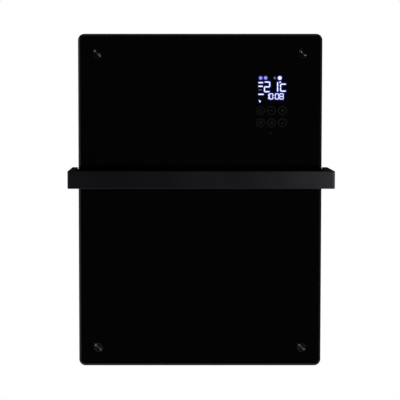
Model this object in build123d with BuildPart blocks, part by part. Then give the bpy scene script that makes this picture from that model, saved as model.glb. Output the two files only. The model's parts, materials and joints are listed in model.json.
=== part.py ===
from build123d import *
import os

# Glass convector heater with a towel rail, hung on a steel wall bracket.
# The origin lies on the wall, at the centre of the bracket's four fixing holes.
# +X is to the right seen from the front, +Z is up, and the front faces -Y.
# Sizes are in millimetres. "Out" is the distance from the wall, so it runs along -Y.

# Clearances
slide_gap = 0.3
fit_gap = 0.2
thread_gap = 0.1
trunnion_gap = 0.05

# Glass panel
glass_width = 500
glass_height = 686
glass_thickness = 5
glass_corner = 13
glass_bevel_width = 4
glass_bevel_depth = 1.2

# Steel casing behind the glass
wall_gap = 16
casing_depth = 46
casing_sheet = 1.2
casing_corner = 16
casing_bevel = 14
side_overhang = 24
end_overhang = 25
flange_width = 8
plate_sheet = 1.2
standoff = 8
control_width = 128

# Wall bracket and its hooks
bracket_above_centre = 150
bracket_width = 320
bracket_height = 90
bracket_sheet = 2
bracket_bend = 0.8
bolt_spacing_x = 260
bolt_spacing_z = 44
bolt_hole_radius = 3
bracket_window_length = 50
bracket_window_height = 20
bracket_window_pitch = 80
hook_x = 140
hook_width = 30
hook_height = 10
hook_gap = 0.6
hook_side_gap = 1
lift_height = 12

# Fixings at the four corners of the glass
corner_screw_inset_x = 16
corner_screw_inset_z = 15
corner_screw_radius = 2.5
corner_screw_head_radius = 4.75
corner_screw_head_height = 2.6
corner_screw_length = 24
hex_key_radius = 1.7
hex_key_depth = 1.6
glass_hole_radius = 4
spacer_radius = 9
washer_radius = 6.5
washer_thickness = 0.8
cap_radius = 10
cap_height = 5
cap_edge = 0.9
cap_wall = 1.6
rivet_body_radius = 3.5
rivet_flange_radius = 4.6
rivet_flange_thickness = 0.8
rivet_length = 11

# Small screws of the casing
small_screw_radius = 1.5
small_head_radius = 2.8
small_head_height = 1.8
small_screw_length = 4
casing_screw_pitch_x = 190
casing_screw_pitch_z = 150

# Towel rail
rail_reach = 78
rail_above_centre = 51.2
rail_height = 35
rail_thickness = 12
rail_side_gap = 2
rail_corner = 5
rail_edge = 1.5
rail_wall = 1.5
rail_bracket_sheet = 3
rail_bracket_height = 28
rail_bracket_inside = 190
rail_bracket_reach = 34
rail_screw_radius = 2
rail_screw_head_radius = 3.8
rail_screw_head_height = 2.2
rail_screw_inset = 14
rail_screw_pitch = 14
plug_flange = 1
plug_length = 10

# Air outlet and inlet
grille_length = 276
grille_depth = 22
grille_height = 12
grille_lip = 2.5
grille_wall = 1.5
grille_blades = 3
grille_blade_sheet = 1.2
grille_blade_lean = 4
grille_ribs = 9
grille_barb = 0.9
inlet_slot_length = 22
inlet_slot_width = 5
inlet_slot_pitch = 11
inlet_slots = 26
vent_length = 34
vent_height = 5
vent_pitch_x = 44
vent_pitch_z = 12
vent_columns = 5
vent_rows = 3
vent_above_bottom = 56

# Heating element
element_below_centre = 190
element_out = 39
element_length = 236
fin_span_out = 26
fin_span_z = 64
fin_sheet = 2.2
fin_tip = 7
hub_radius = 8
fin_slot_width = 4
fin_slot_pitch = 12
fin_slots = 19
rod_radius = 4
rod_beyond_element = 22
pin_radius = 2
pin_length = 8
insulator_flange_radius = 11
insulator_flange = 4
insulator_neck_radius = 7.5
insulator_tail = 5
element_to_bracket = 14
element_bracket_sheet = 1.2
element_bracket_height = 56
element_bracket_foot = 14
shield_height = 150
shield_sheet = 0.8
shield_lip = 10
shield_to_plate = 4.4

# Wall between the heating chamber and the controls
chamber_wall_sheet = 1
chamber_wall_end_gap = 18
chamber_wall_foot = 11
grommet_below_centre = 160
grommet_bore_radius = 4
grommet_hole_radius = 6
grommet_flange_radius = 8
grommet_flange = 1.8
cutout_below_centre = 135
cutout_cup_radius = 8
cutout_cup_height = 6
cutout_flange_radius = 10
cutout_flange = 1.2
cutout_body_height = 7
spade_width = 5
spade_thickness = 0.8
spade_length = 7

# Control board
board_width = 96
board_height = 150
board_thickness = 1.6
board_below_centre = 30
board_standoff = 9
board_post_radius = 3
board_hole_inset = 5
relay_size = (28, 34, 15)
transformer_size = (34, 30, 26)
transformer_core = 9
capacitor_radius = 6.3
capacitor_height = 20
terminal_pitch = 10
terminal_ways = 3
terminal_height = 20
terminal_depth = 17
terminal_above_bottom = 56

# Display behind the glass
display_inset_x = 102
display_inset_z = 114
housing_side_room = 11
housing_height = 136
housing_depth = 17
housing_wall = 1.5
housing_corner = 4
housing_ear = 6
housing_below_display = 32
tape_thickness = 1
display_board_margin = 1.5
display_board_back = 6.8
display_board_thickness = 1.6
display_width = 58
display_height = 56
display_depth = 7.6
display_post_radius = 2.8
display_post_inset = 4
key_pitch_x = 22.7
key_pitch_z = 25.3
key_first_below_display = 43.1
key_shift_x = -2
key_radius = 4
buzzer_radius = 5
buzzer_height = 5.5
buzzer_left_of_display = 20
buzzer_below_display = 89.4
ribbon_width = 20
ribbon_thickness = 0.9
ribbon_bend = 6
ribbon_out = 40

# Rocker switch in the right side
switch_above_bottom = 88
switch_flange_length = 21
switch_flange_width = 15
switch_flange = 2
switch_corner = 1.5
switch_body_length = 19
switch_body_width = 12.8
switch_body_depth = 14
switch_cavity_depth = 8
switch_cavity_length = 17.7
rocker_width = 10.2
rocker_length = 16
rocker_rise = 3.4
rocker_dip = 1
rocker_pivot_depth = 1.6
rocker_tilt = 10
trunnion_radius = 1.2
trunnion_length = 0.7
switch_tab_pitch = 10

# Mains inlet gland in the bottom
gland_bore_radius = 3.75
gland_thread_radius = 7.6
gland_flange_radius = 10.5
gland_flange = 5
gland_dome_length = 13
gland_dome_radius = 8.6
gland_inside = 9
gland_nut_width = 20
gland_nut_height = 4.5

# Wall bumpers, room sensor and earth point
bumper_x = 195
bumper_above_bottom = 33
bumper_radius = 9
bumper_tip_radius = 7
bumper_stem_radius = 3
bumper_bulb_radius = 4.2
bumper_bulb = 3
sensor_right_of_wall = 20
sensor_radius = 2.5
sensor_height = 9
sensor_foot = 12
earth_right_of_wall = 97
earth_above_bottom = 128
earth_stud_radius = 2
earth_stud_length = 9
earth_ring_radius = 4.6
earth_ring = 2.6
earth_nut_width = 7
earth_nut_height = 3.2

# Inner leads
lead_radius = 1.3
sensor_lead_radius = 0.9
lead_bend = 4
lead_landing = 10
control_lead_landing = 7
live_lead_rise = 14
live_lead_run = 20
switch_lead_run = 14
neutral_lead_rise = 50
neutral_lead_side = 24
neutral_lead_below_board = 45
neutral_lead_off_board = 15
earth_lead_rise = 45
earth_lead_run = 14
cutout_lead_run = 8
element_lead_run = 7
element_lead_side = 17
element_lead_above = 42
element_lead_inset = 25
element_lead_drop = 26
sensor_lead_rise = 60
sensor_lead_side = 11
sensor_lead_step = 4

# Distances out from the wall, in order
casing_back = wall_gap
casing_inside = casing_back + casing_sheet
casing_front = casing_back + casing_depth
flange_back = casing_front - casing_sheet
plate_front = casing_front + plate_sheet
glass_back = plate_front + standoff
glass_front = glass_back + glass_thickness
rail_front = glass_front + rail_reach
rail_bracket_front = plate_front + rail_bracket_sheet
arm_back = rail_bracket_front + plug_flange
flat_side_middle = casing_back + casing_bevel + (casing_depth - casing_bevel) / 2

# Widths, heights and places seen from the front, measured from the middle of the glass
panel_z = -bracket_above_centre
casing_width = glass_width - 2 * side_overhang
casing_height = glass_height - 2 * end_overhang
inner_width = casing_width - 2 * casing_sheet
inner_height = casing_height - 2 * casing_sheet
inner_corner = casing_corner - casing_sheet
casing_top = casing_height / 2
casing_side = casing_width / 2
vent_z = vent_above_bottom - casing_top
terminal_z = terminal_above_bottom - casing_top
switch_z = switch_above_bottom - casing_top
bumper_z = bumper_above_bottom - casing_top
earth_z = earth_above_bottom - casing_top
chamber_wall_height = casing_height - 2 * chamber_wall_end_gap
corner_screw_x = casing_side - corner_screw_inset_x
corner_screw_z = casing_top - corner_screw_inset_z
chamber_wall_x = casing_side - control_width
control_x = (chamber_wall_x + inner_width / 2) / 2
chamber_x = (chamber_wall_x - inner_width / 2) / 2
arm_inside = glass_width / 2 + rail_side_gap
arm_outside = arm_inside + rail_thickness
arm_middle = (arm_inside + arm_outside) / 2
display_x = glass_width / 2 - display_inset_x
display_z = glass_height / 2 - display_inset_z
housing_width = display_width + 2 * housing_side_room
housing_z = display_z - housing_below_display
housing_front = glass_back - tape_thickness
housing_back = housing_front - housing_depth
display_board_out = housing_back + display_board_back
display_board_front = display_board_out + display_board_thickness
board_out = casing_inside + board_standoff
board_front = board_out + board_thickness
shield_back = casing_front - shield_to_plate - shield_sheet
corner_points = [(x * corner_screw_x, z * corner_screw_z) for x in (-1, 1) for z in (-1, 1)]


def facing(out, x=0, z=0):
    """Plane that looks to the front, this far out from the wall."""
    return Plane((x, -out, panel_z + z), x_dir=(1, 0, 0), z_dir=(0, -1, 0))


def level(z, x=0, out=0):
    """Plane that looks up, with its local Y towards the wall."""
    return Plane((x, -out, panel_z + z), x_dir=(1, 0, 0), z_dir=(0, 0, 1))


def sideways(x, out=0, z=0):
    """Plane that looks to the right, with its local X towards the wall and its local Y up."""
    return Plane((x, -out, panel_z + z), x_dir=(0, 1, 0), z_dir=(1, 0, 0))


def inside_point(x, out, z):
    """Point given by its distance out from the wall and its height above the glass's middle."""
    return (x, -out, panel_z + z)


os.makedirs("parts", exist_ok=True)

# Wall bracket: bent from one sheet, with a ledge along the top and two upturned hooks
ledge_out = casing_back - slide_gap
ledge_z = (bracket_height - bracket_sheet) / 2
hook_out = casing_inside + hook_gap + bracket_sheet / 2
hook_top = bracket_height / 2 + hook_height
bend_radius = bracket_bend + bracket_sheet / 2
with BuildPart() as wall_bracket:
    with BuildSketch(Plane.YZ):
        with BuildLine():
            FilletPolyline(
                (-ledge_out, -ledge_z),
                (-bracket_sheet / 2, -ledge_z),
                (-bracket_sheet / 2, ledge_z),
                (-ledge_out, ledge_z),
                radius=bend_radius,
            )
        trace(line_width=bracket_sheet)
    extrude(amount=bracket_width / 2, both=True)
    for side in (-1, 1):
        with BuildSketch(Plane.YZ.offset(side * hook_x)):
            with BuildLine():
                FilletPolyline(
                    (-ledge_out, ledge_z),
                    (-hook_out, ledge_z),
                    (-hook_out, hook_top),
                    radius=bend_radius,
                )
            trace(line_width=bracket_sheet)
        extrude(amount=hook_width / 2, both=True)
    with BuildSketch(Plane.XZ):
        with GridLocations(bolt_spacing_x, bolt_spacing_z, 2, 2):
            Circle(bolt_hole_radius)
        with GridLocations(bracket_window_pitch, 0, 3, 1):
            SlotOverall(bracket_window_length, bracket_window_height)
    extrude(amount=bracket_sheet, mode=Mode.SUBTRACT)
wall_bracket.part.label = "wall_bracket"
export_step(wall_bracket.part, "parts/wall_bracket.step")

# Places of the casing's screws, along the middle of its front flange
flange_x = inner_width / 2 - flange_width / 2
flange_z = inner_height / 2 - flange_width / 2
casing_screw_points = [
    (column * casing_screw_pitch_x, row * flange_z) for column in (-1, 0, 1) for row in (-1, 1)
] + [(side * flange_x, row * casing_screw_pitch_z) for side in (-1, 1) for row in (-1, 0, 1)]

# Places of the screws that come through the casing's back
element_bracket_x = element_length / 2 + element_to_bracket
bracket_foot_x = element_bracket_x + element_bracket_foot / 2
back_screw_z = element_bracket_height / 2 - small_head_radius - element_bracket_sheet
back_screw_points = [
    (chamber_x + side * bracket_foot_x, row * back_screw_z - element_below_centre)
    for side in (-1, 1)
    for row in (-1, 1)
]

# Rear casing: a folded pan with bevelled back edges, a front flange and air slots
slot_height = lift_height + bracket_sheet + hook_side_gap
slot_top = bracket_height / 2 + slide_gap
terminal_width = terminal_pitch * terminal_ways
with BuildPart() as rear_casing:
    with BuildSketch(facing(casing_back)):
        RectangleRounded(casing_width, casing_height, casing_corner)
    extrude(amount=casing_depth)
    chamfer(rear_casing.faces().sort_by(Axis.Y)[-1].edges(), length=casing_bevel)
    offset(amount=-casing_sheet, openings=rear_casing.faces().sort_by(Axis.Y)[0])
    with BuildSketch(facing(flange_back)):
        RectangleRounded(inner_width, inner_height, inner_corner)
        RectangleRounded(
            inner_width - 2 * flange_width,
            inner_height - 2 * flange_width,
            inner_corner - flange_width,
            mode=Mode.SUBTRACT,
        )
    extrude(amount=casing_sheet)
    with BuildSketch(facing(flange_back)):
        with Locations(casing_screw_points):
            Circle(small_screw_radius + thread_gap)
    extrude(amount=casing_sheet, mode=Mode.SUBTRACT)
    with BuildSketch(Plane.XZ.offset(casing_back)):
        with Locations((-hook_x, slot_top - slot_height / 2), (hook_x, slot_top - slot_height / 2)):
            Rectangle(hook_width + 2 * hook_side_gap, slot_height)
    extrude(amount=casing_sheet, mode=Mode.SUBTRACT)
    with BuildSketch(facing(casing_back)):
        with Locations((chamber_x, vent_z)):
            with GridLocations(vent_pitch_x, vent_pitch_z, vent_columns, vent_rows):
                SlotOverall(vent_length, vent_height)
        with Locations((-bumper_x, bumper_z), (bumper_x, bumper_z)):
            Circle(bumper_stem_radius + thread_gap)
        with Locations(back_screw_points):
            Circle(small_screw_radius + thread_gap)
        with Locations((chamber_wall_x + earth_right_of_wall, earth_z)):
            Circle(earth_stud_radius + thread_gap)
    extrude(amount=casing_sheet, mode=Mode.SUBTRACT)
    with BuildSketch(level(casing_top - casing_sheet, chamber_x, flat_side_middle)):
        Rectangle(grille_length + 2 * fit_gap, grille_depth + 2 * fit_gap)
    extrude(amount=casing_sheet, mode=Mode.SUBTRACT)
    with BuildSketch(level(-casing_top, chamber_x, flat_side_middle)):
        with GridLocations(inlet_slot_pitch, 0, inlet_slots, 1):
            Rectangle(inlet_slot_width, inlet_slot_length)
    extrude(amount=casing_sheet, mode=Mode.SUBTRACT)
    with BuildSketch(level(-casing_top, control_x, flat_side_middle)):
        Circle(gland_thread_radius + fit_gap)
    extrude(amount=casing_sheet, mode=Mode.SUBTRACT)
    with BuildSketch(sideways(inner_width / 2, flat_side_middle, switch_z)):
        Rectangle(switch_body_width + 2 * fit_gap, switch_body_length + 2 * fit_gap)
    extrude(amount=casing_sheet, mode=Mode.SUBTRACT)
rear_casing.part.label = "rear_casing"
export_step(rear_casing.part, "parts/rear_casing.step")

# Front plate: closes the casing and carries the glass, the display and the rail
rail_screw_points = [
    (side * (rail_bracket_inside + rail_screw_inset / 2 + step * rail_screw_pitch), rail_above_centre)
    for side in (-1, 1)
    for step in (0, 1)
]
ear_pitch_x = housing_width + housing_ear
ear_pitch_z = housing_height + housing_ear
with BuildPart() as front_plate:
    with BuildSketch(facing(casing_front)):
        RectangleRounded(casing_width, casing_height, casing_corner)
        with Locations(corner_points):
            Circle(rivet_body_radius + thread_gap, mode=Mode.SUBTRACT)
        with Locations(casing_screw_points):
            Circle(small_screw_radius + thread_gap, mode=Mode.SUBTRACT)
        with Locations(rail_screw_points):
            Circle(rail_screw_radius + thread_gap, mode=Mode.SUBTRACT)
        with Locations((display_x, housing_z)):
            Rectangle(housing_width + 2 * fit_gap, housing_height + 2 * fit_gap, mode=Mode.SUBTRACT)
            with GridLocations(ear_pitch_x, ear_pitch_z, 2, 2):
                Circle(small_screw_radius + thread_gap, mode=Mode.SUBTRACT)
    extrude(amount=plate_sheet)
front_plate.part.label = "front_plate"
export_step(front_plate.part, "parts/front_plate.step")

with BuildPart() as casing_screws:
    with BuildSketch(facing(plate_front)):
        with Locations(casing_screw_points):
            Circle(small_head_radius)
    extrude(amount=small_head_height)
    chamfer(casing_screws.faces().group_by(Axis.Y)[0].edges(), length=small_head_height / 3)
    with BuildSketch(facing(plate_front)):
        with Locations(casing_screw_points):
            Circle(small_screw_radius)
    extrude(amount=-small_screw_length)
casing_screws.part.label = "casing_screws"
export_step(casing_screws.part, "parts/casing_screws.step")

# Outlet grille: a frame with curved blades that turn the rising air away from the wall
grille_floor = casing_top - grille_height
blade_pitch = grille_depth / (grille_blades + 1)
rib_pitch = grille_length / (grille_ribs + 1)
rib_drop = casing_sheet
with BuildPart() as outlet_grille:
    with BuildSketch(level(grille_floor, chamber_x, flat_side_middle)):
        Rectangle(grille_length, grille_depth)
        Rectangle(grille_length - 2 * grille_wall, grille_depth - 2 * grille_wall, mode=Mode.SUBTRACT)
    extrude(amount=grille_height)
    with BuildSketch(level(casing_top, chamber_x, flat_side_middle)):
        RectangleRounded(grille_length + 2 * grille_lip, grille_depth + 2 * grille_lip, grille_lip)
        Rectangle(grille_length - 2 * grille_wall, grille_depth - 2 * grille_wall, mode=Mode.SUBTRACT)
    extrude(amount=grille_wall)
    for blade in range(grille_blades):
        blade_foot = (blade - (grille_blades - 1) / 2) * blade_pitch + grille_blade_lean / 2
        with BuildSketch(sideways(chamber_x, flat_side_middle, casing_top)):
            with BuildLine():
                TangentArc(
                    (blade_foot, -grille_height),
                    (blade_foot - grille_blade_lean, 0),
                    tangent=(0, 1),
                )
            trace(line_width=grille_blade_sheet)
        extrude(amount=grille_length / 2 - grille_wall, both=True)
    with BuildSketch(level(grille_floor, chamber_x, flat_side_middle)):
        with GridLocations(rib_pitch, 0, grille_ribs, 1):
            Rectangle(grille_blade_sheet, grille_depth - 2 * grille_wall)
    extrude(amount=grille_height - rib_drop)
    for side in (-1, 1):
        with BuildSketch(sideways(chamber_x, flat_side_middle, casing_top - casing_sheet - fit_gap)):
            with BuildLine():
                Polyline(
                    (side * grille_depth / 2, 0),
                    (side * (grille_depth / 2 + grille_barb), 0),
                    (side * grille_depth / 2, -3 * grille_barb),
                    close=True,
                )
            make_face()
        extrude(amount=grille_length / 4, both=True)
outlet_grille.part.label = "outlet_grille"
export_step(outlet_grille.part, "parts/outlet_grille.step")

# Chamber wall: keeps the heated air away from the controls
wall_front = casing_front - slide_gap
with BuildPart() as chamber_wall:
    with BuildSketch(level(-chamber_wall_height / 2)):
        with BuildLine():
            Polyline(
                (chamber_wall_x + chamber_wall_foot, -casing_inside - chamber_wall_sheet / 2),
                (chamber_wall_x, -casing_inside - chamber_wall_sheet / 2),
                (chamber_wall_x, -wall_front),
            )
        trace(line_width=chamber_wall_sheet)
    extrude(amount=chamber_wall_height)
    with BuildSketch(sideways(chamber_wall_x - chamber_wall_sheet, element_out)):
        with Locations((0, -grommet_below_centre)):
            Circle(grommet_hole_radius)
        with Locations((0, -cutout_below_centre)):
            Circle(cutout_cup_radius + fit_gap)
    extrude(amount=2 * chamber_wall_sheet, mode=Mode.SUBTRACT)
chamber_wall.part.label = "chamber_wall"
export_step(chamber_wall.part, "parts/chamber_wall.step")

# Grommet for the element's two leads, grooved round the edge of its hole
groove_half = chamber_wall_sheet / 2 + thread_gap
with BuildPart() as lead_grommet:
    with BuildSketch(sideways(chamber_wall_x - groove_half, element_out, -grommet_below_centre)):
        Circle(grommet_hole_radius - thread_gap)
        Circle(grommet_bore_radius, mode=Mode.SUBTRACT)
    extrude(amount=2 * groove_half)
    for side in (-1, 1):
        with BuildSketch(
            sideways(chamber_wall_x + side * groove_half, element_out, -grommet_below_centre)
        ):
            Circle(grommet_flange_radius)
            Circle(grommet_bore_radius, mode=Mode.SUBTRACT)
        extrude(amount=side * grommet_flange)
lead_grommet.part.label = "lead_grommet"
export_step(lead_grommet.part, "parts/lead_grommet.step")

# Thermal cutout: its cup reaches through the chamber wall and its tabs face the controls
cutout_seat = chamber_wall_x + chamber_wall_sheet / 2
with BuildPart() as thermal_cutout:
    with BuildSketch(sideways(cutout_seat, element_out, -cutout_below_centre)):
        Circle(cutout_cup_radius)
    extrude(amount=-cutout_cup_height)
    with BuildSketch(sideways(cutout_seat, element_out, -cutout_below_centre)):
        Circle(cutout_flange_radius)
    extrude(amount=cutout_flange)
    with BuildSketch(sideways(cutout_seat + cutout_flange, element_out, -cutout_below_centre)):
        Circle(cutout_cup_radius)
    extrude(amount=cutout_body_height)
    with BuildSketch(
        sideways(cutout_seat + cutout_flange + cutout_body_height, element_out, -cutout_below_centre)
    ):
        with GridLocations(0, cutout_cup_radius, 1, 2):
            Rectangle(spade_width, spade_thickness)
    extrude(amount=spade_length)
thermal_cutout.part.label = "thermal_cutout"
export_step(thermal_cutout.part, "parts/thermal_cutout.step")

# Heating element: an X of finned arms round a hub, cut into teeth by the cross slots
arm_angle = Vector(fin_span_out, fin_span_z).get_angle(Vector(1, 0))
arm_length = Vector(fin_span_out, fin_span_z).length
element_start = chamber_x - element_length / 2
with BuildPart() as heating_element:
    with BuildSketch(sideways(element_start, element_out, -element_below_centre)):
        for turn in (-1, 1):
            Rectangle(arm_length, fin_sheet, rotation=turn * arm_angle)
            with Locations(Location((0, 0, 0), (0, 0, turn * arm_angle))):
                with GridLocations(arm_length - fin_sheet, 0, 2, 1):
                    Rectangle(fin_sheet, fin_tip)
        Circle(hub_radius)
        Circle(rod_radius + thread_gap, mode=Mode.SUBTRACT)
    extrude(amount=element_length)
    with BuildSketch(facing(casing_inside, chamber_x, -element_below_centre)):
        for side in (-1, 1):
            with Locations((0, side * (hub_radius + fin_sheet + fin_span_z / 2))):
                with GridLocations(fin_slot_pitch, 0, fin_slots, 1):
                    Rectangle(fin_slot_width, fin_span_z)
    extrude(amount=casing_depth, mode=Mode.SUBTRACT)
heating_element.part.label = "heating_element"
export_step(heating_element.part, "parts/heating_element.step")

# Sheathed rod through the element, with a terminal pin at each end
rod_half = element_length / 2 + rod_beyond_element
with BuildPart() as element_rod:
    with BuildSketch(sideways(chamber_x, element_out, -element_below_centre)):
        Circle(rod_radius)
    extrude(amount=rod_half, both=True)
    chamfer(element_rod.edges().filter_by(GeomType.CIRCLE), length=rod_radius / 5)
    with BuildSketch(sideways(chamber_x, element_out, -element_below_centre)):
        Circle(pin_radius)
    extrude(amount=rod_half + pin_length, both=True)
element_rod.part.label = "element_rod"
export_step(element_rod.part, "parts/element_rod.step")

# Ceramic bushes that carry the rod in its two brackets
with BuildPart() as element_insulators:
    for side in (-1, 1):
        web_x = chamber_x + side * element_bracket_x
        for start, length, radius in (
            (-insulator_flange, insulator_flange, insulator_flange_radius),
            (0, element_bracket_sheet + insulator_tail, insulator_neck_radius),
        ):
            with BuildSketch(sideways(web_x + side * start, element_out, -element_below_centre)):
                Circle(radius)
                Circle(rod_radius + thread_gap, mode=Mode.SUBTRACT)
            extrude(amount=side * length)
element_insulators.part.label = "element_insulators"
export_step(element_insulators.part, "parts/element_insulators.step")

# Two folded brackets between the casing's back and the heat shield
with BuildPart() as element_brackets:
    foot_back = casing_inside + element_bracket_sheet / 2
    foot_front = shield_back - element_bracket_sheet / 2
    for side in (-1, 1):
        web_middle = chamber_x + side * (element_bracket_x + element_bracket_sheet / 2)
        foot_end = web_middle + side * element_bracket_foot
        with BuildSketch(level(-element_below_centre)):
            with BuildLine():
                Polyline(
                    (foot_end, -foot_back),
                    (web_middle, -foot_back),
                    (web_middle, -foot_front),
                    (foot_end, -foot_front),
                )
            trace(line_width=element_bracket_sheet)
        extrude(amount=element_bracket_height / 2, both=True)
        with BuildSketch(
            sideways(chamber_x + side * element_bracket_x, element_out, -element_below_centre)
        ):
            Circle(insulator_neck_radius + thread_gap)
        extrude(amount=side * element_bracket_sheet, mode=Mode.SUBTRACT)
    with BuildSketch(facing(casing_inside)):
        with Locations(back_screw_points):
            Circle(small_screw_radius + thread_gap)
    extrude(amount=element_bracket_sheet, mode=Mode.SUBTRACT)
element_brackets.part.label = "element_brackets"
export_step(element_brackets.part, "parts/element_brackets.step")

with BuildPart() as bracket_screws:
    with BuildSketch(facing(casing_back)):
        with Locations(back_screw_points):
            Circle(small_head_radius)
    extrude(amount=-small_head_height)
    chamfer(bracket_screws.faces().group_by(Axis.Y)[-1].edges(), length=small_head_height / 3)
    with BuildSketch(facing(casing_back)):
        with Locations(back_screw_points):
            Circle(small_screw_radius)
    extrude(amount=small_screw_length)
bracket_screws.part.label = "bracket_screws"
export_step(bracket_screws.part, "parts/bracket_screws.step")

# Heat shield between the element and the front plate, with its two long edges bent back
shield_middle = shield_back + shield_sheet / 2
with BuildPart() as heat_shield:
    with BuildSketch(sideways(chamber_x, 0, -element_below_centre)):
        with BuildLine():
            Polyline(
                (shield_lip - shield_middle, -shield_height / 2 - shield_lip),
                (-shield_middle, -shield_height / 2),
                (-shield_middle, shield_height / 2),
                (shield_lip - shield_middle, shield_height / 2 + shield_lip),
            )
        trace(line_width=shield_sheet)
    extrude(amount=element_bracket_x + element_bracket_foot, both=True)
heat_shield.part.label = "heat_shield"
export_step(heat_shield.part, "parts/heat_shield.step")

# Glass panel with a broad polished bevel and four drilled holes
with BuildPart() as glass_panel:
    with BuildSketch(facing(glass_back)):
        RectangleRounded(glass_width, glass_height, glass_corner)
    extrude(amount=glass_thickness)
    glass_face = glass_panel.faces().sort_by(Axis.Y)[0]
    chamfer(glass_face.edges(), length=glass_bevel_width, length2=glass_bevel_depth, reference=glass_face)
    with Locations(facing(glass_front)):
        with Locations(corner_points):
            Hole(glass_hole_radius)
glass_panel.part.label = "glass_panel"
export_step(glass_panel.part, "parts/glass_panel.step")

# Rivet nuts in the front plate, for the glass screws
with BuildPart() as rivet_nuts:
    with BuildSketch(facing(plate_front)):
        with Locations(corner_points):
            Circle(rivet_flange_radius)
            Circle(corner_screw_radius + thread_gap, mode=Mode.SUBTRACT)
    extrude(amount=rivet_flange_thickness)
    with BuildSketch(facing(plate_front)):
        with Locations(corner_points):
            Circle(rivet_body_radius)
            Circle(corner_screw_radius + thread_gap, mode=Mode.SUBTRACT)
    extrude(amount=-rivet_length)
rivet_nuts.part.label = "rivet_nuts"
export_step(rivet_nuts.part, "parts/rivet_nuts.step")

# Spacers that hold the glass off the front plate, hollowed over the rivet nuts
with BuildPart() as glass_spacers:
    with BuildSketch(facing(plate_front)):
        with Locations(corner_points):
            Circle(spacer_radius)
    extrude(amount=standoff)
    with BuildSketch(facing(plate_front)):
        with Locations(corner_points):
            Circle(rivet_flange_radius + fit_gap)
    extrude(amount=rivet_flange_thickness, mode=Mode.SUBTRACT)
    with BuildSketch(facing(plate_front)):
        with Locations(corner_points):
            Circle(corner_screw_radius + fit_gap)
    extrude(amount=standoff, mode=Mode.SUBTRACT)
glass_spacers.part.label = "glass_spacers"
export_step(glass_spacers.part, "parts/glass_spacers.step")

with BuildPart() as glass_washers:
    with BuildSketch(facing(glass_front)):
        with Locations(corner_points):
            Circle(washer_radius)
            Circle(corner_screw_radius + fit_gap, mode=Mode.SUBTRACT)
    extrude(amount=washer_thickness)
glass_washers.part.label = "glass_washers"
export_step(glass_washers.part, "parts/glass_washers.step")

with BuildPart() as glass_screws:
    head_seat = glass_front + washer_thickness
    with BuildSketch(facing(head_seat)):
        with Locations(corner_points):
            Circle(corner_screw_head_radius)
    extrude(amount=corner_screw_head_height)
    fillet(glass_screws.faces().group_by(Axis.Y)[0].edges(), radius=corner_screw_head_height / 2)
    with BuildSketch(facing(head_seat)):
        with Locations(corner_points):
            Circle(corner_screw_radius)
    extrude(amount=-corner_screw_length)
    with BuildSketch(facing(head_seat + corner_screw_head_height)):
        with Locations(corner_points):
            RegularPolygon(hex_key_radius, 6)
    extrude(amount=-hex_key_depth, mode=Mode.SUBTRACT)
glass_screws.part.label = "glass_screws"
export_step(glass_screws.part, "parts/glass_screws.step")

# Turned caps that hide the glass screws
with BuildPart() as screw_caps:
    with BuildSketch(facing(glass_front)):
        with Locations(corner_points):
            Circle(cap_radius)
    extrude(amount=cap_height)
    chamfer(screw_caps.faces().group_by(Axis.Y)[0].edges(), length=cap_edge)
    with BuildSketch(facing(glass_front)):
        with Locations(corner_points):
            Circle(cap_radius - cap_wall)
    extrude(amount=cap_height - cap_wall + washer_thickness / 2, mode=Mode.SUBTRACT)
screw_caps.part.label = "screw_caps"
export_step(screw_caps.part, "parts/screw_caps.step")

# Towel rail: one rectangular tube in a flat U round the sides of the glass, open at both ends
rail_floor = rail_above_centre - rail_height / 2
arm_depth = rail_front - arm_back
grub_out = rail_bracket_front + rail_bracket_reach / 2
with BuildPart() as towel_rail:
    with BuildSketch(level(rail_floor, 0, rail_front)):
        Rectangle(2 * arm_outside, arm_depth, align=(Align.CENTER, Align.MIN))
        fillet(vertices().group_by(Axis.Y)[0], radius=rail_corner)
        with Locations((0, rail_thickness)):
            Rectangle(2 * arm_inside, arm_depth, align=(Align.CENTER, Align.MIN), mode=Mode.SUBTRACT)
    extrude(amount=rail_height)
    rail_edges = towel_rail.faces().filter_by(Axis.Z).edges()
    fillet(rail_edges - rail_edges.group_by(Axis.Y)[-1], radius=rail_edge)
    with BuildSketch(level(rail_floor + rail_wall, 0, rail_front - rail_wall)):
        Rectangle(2 * (arm_outside - rail_wall), arm_depth, align=(Align.CENTER, Align.MIN))
        fillet(vertices().group_by(Axis.Y)[0], radius=rail_corner - rail_wall)
        with Locations((0, rail_thickness - 2 * rail_wall)):
            Rectangle(
                2 * (arm_inside + rail_wall),
                arm_depth,
                align=(Align.CENTER, Align.MIN),
                mode=Mode.SUBTRACT,
            )
    extrude(amount=rail_height - 2 * rail_wall, mode=Mode.SUBTRACT)
    with BuildSketch(sideways(0, grub_out, rail_above_centre)):
        Circle(rail_screw_radius + thread_gap)
    extrude(amount=arm_inside + 2 * rail_wall, both=True, mode=Mode.SUBTRACT)
towel_rail.part.label = "towel_rail"
export_step(towel_rail.part, "parts/towel_rail.step")

# Plugs in the rail's open ends, slotted for the bracket tongues
with BuildPart() as rail_end_plugs:
    for side in (-1, 1):
        with BuildSketch(facing(rail_bracket_front, side * arm_middle, rail_above_centre)):
            RectangleRounded(rail_thickness, rail_height, rail_edge)
        extrude(amount=plug_flange)
        with BuildSketch(facing(arm_back, side * arm_middle, rail_above_centre)):
            Rectangle(
                rail_thickness - 2 * (rail_wall + thread_gap),
                rail_height - 2 * (rail_wall + thread_gap),
            )
        extrude(amount=plug_length)
        with BuildSketch(facing(rail_bracket_front, side * arm_middle, rail_above_centre)):
            Rectangle(rail_bracket_sheet + 2 * fit_gap, rail_bracket_height + 2 * fit_gap)
        extrude(amount=plug_flange + plug_length, mode=Mode.SUBTRACT)
rail_end_plugs.part.label = "rail_end_plugs"
export_step(rail_end_plugs.part, "parts/rail_end_plugs.step")

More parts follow.
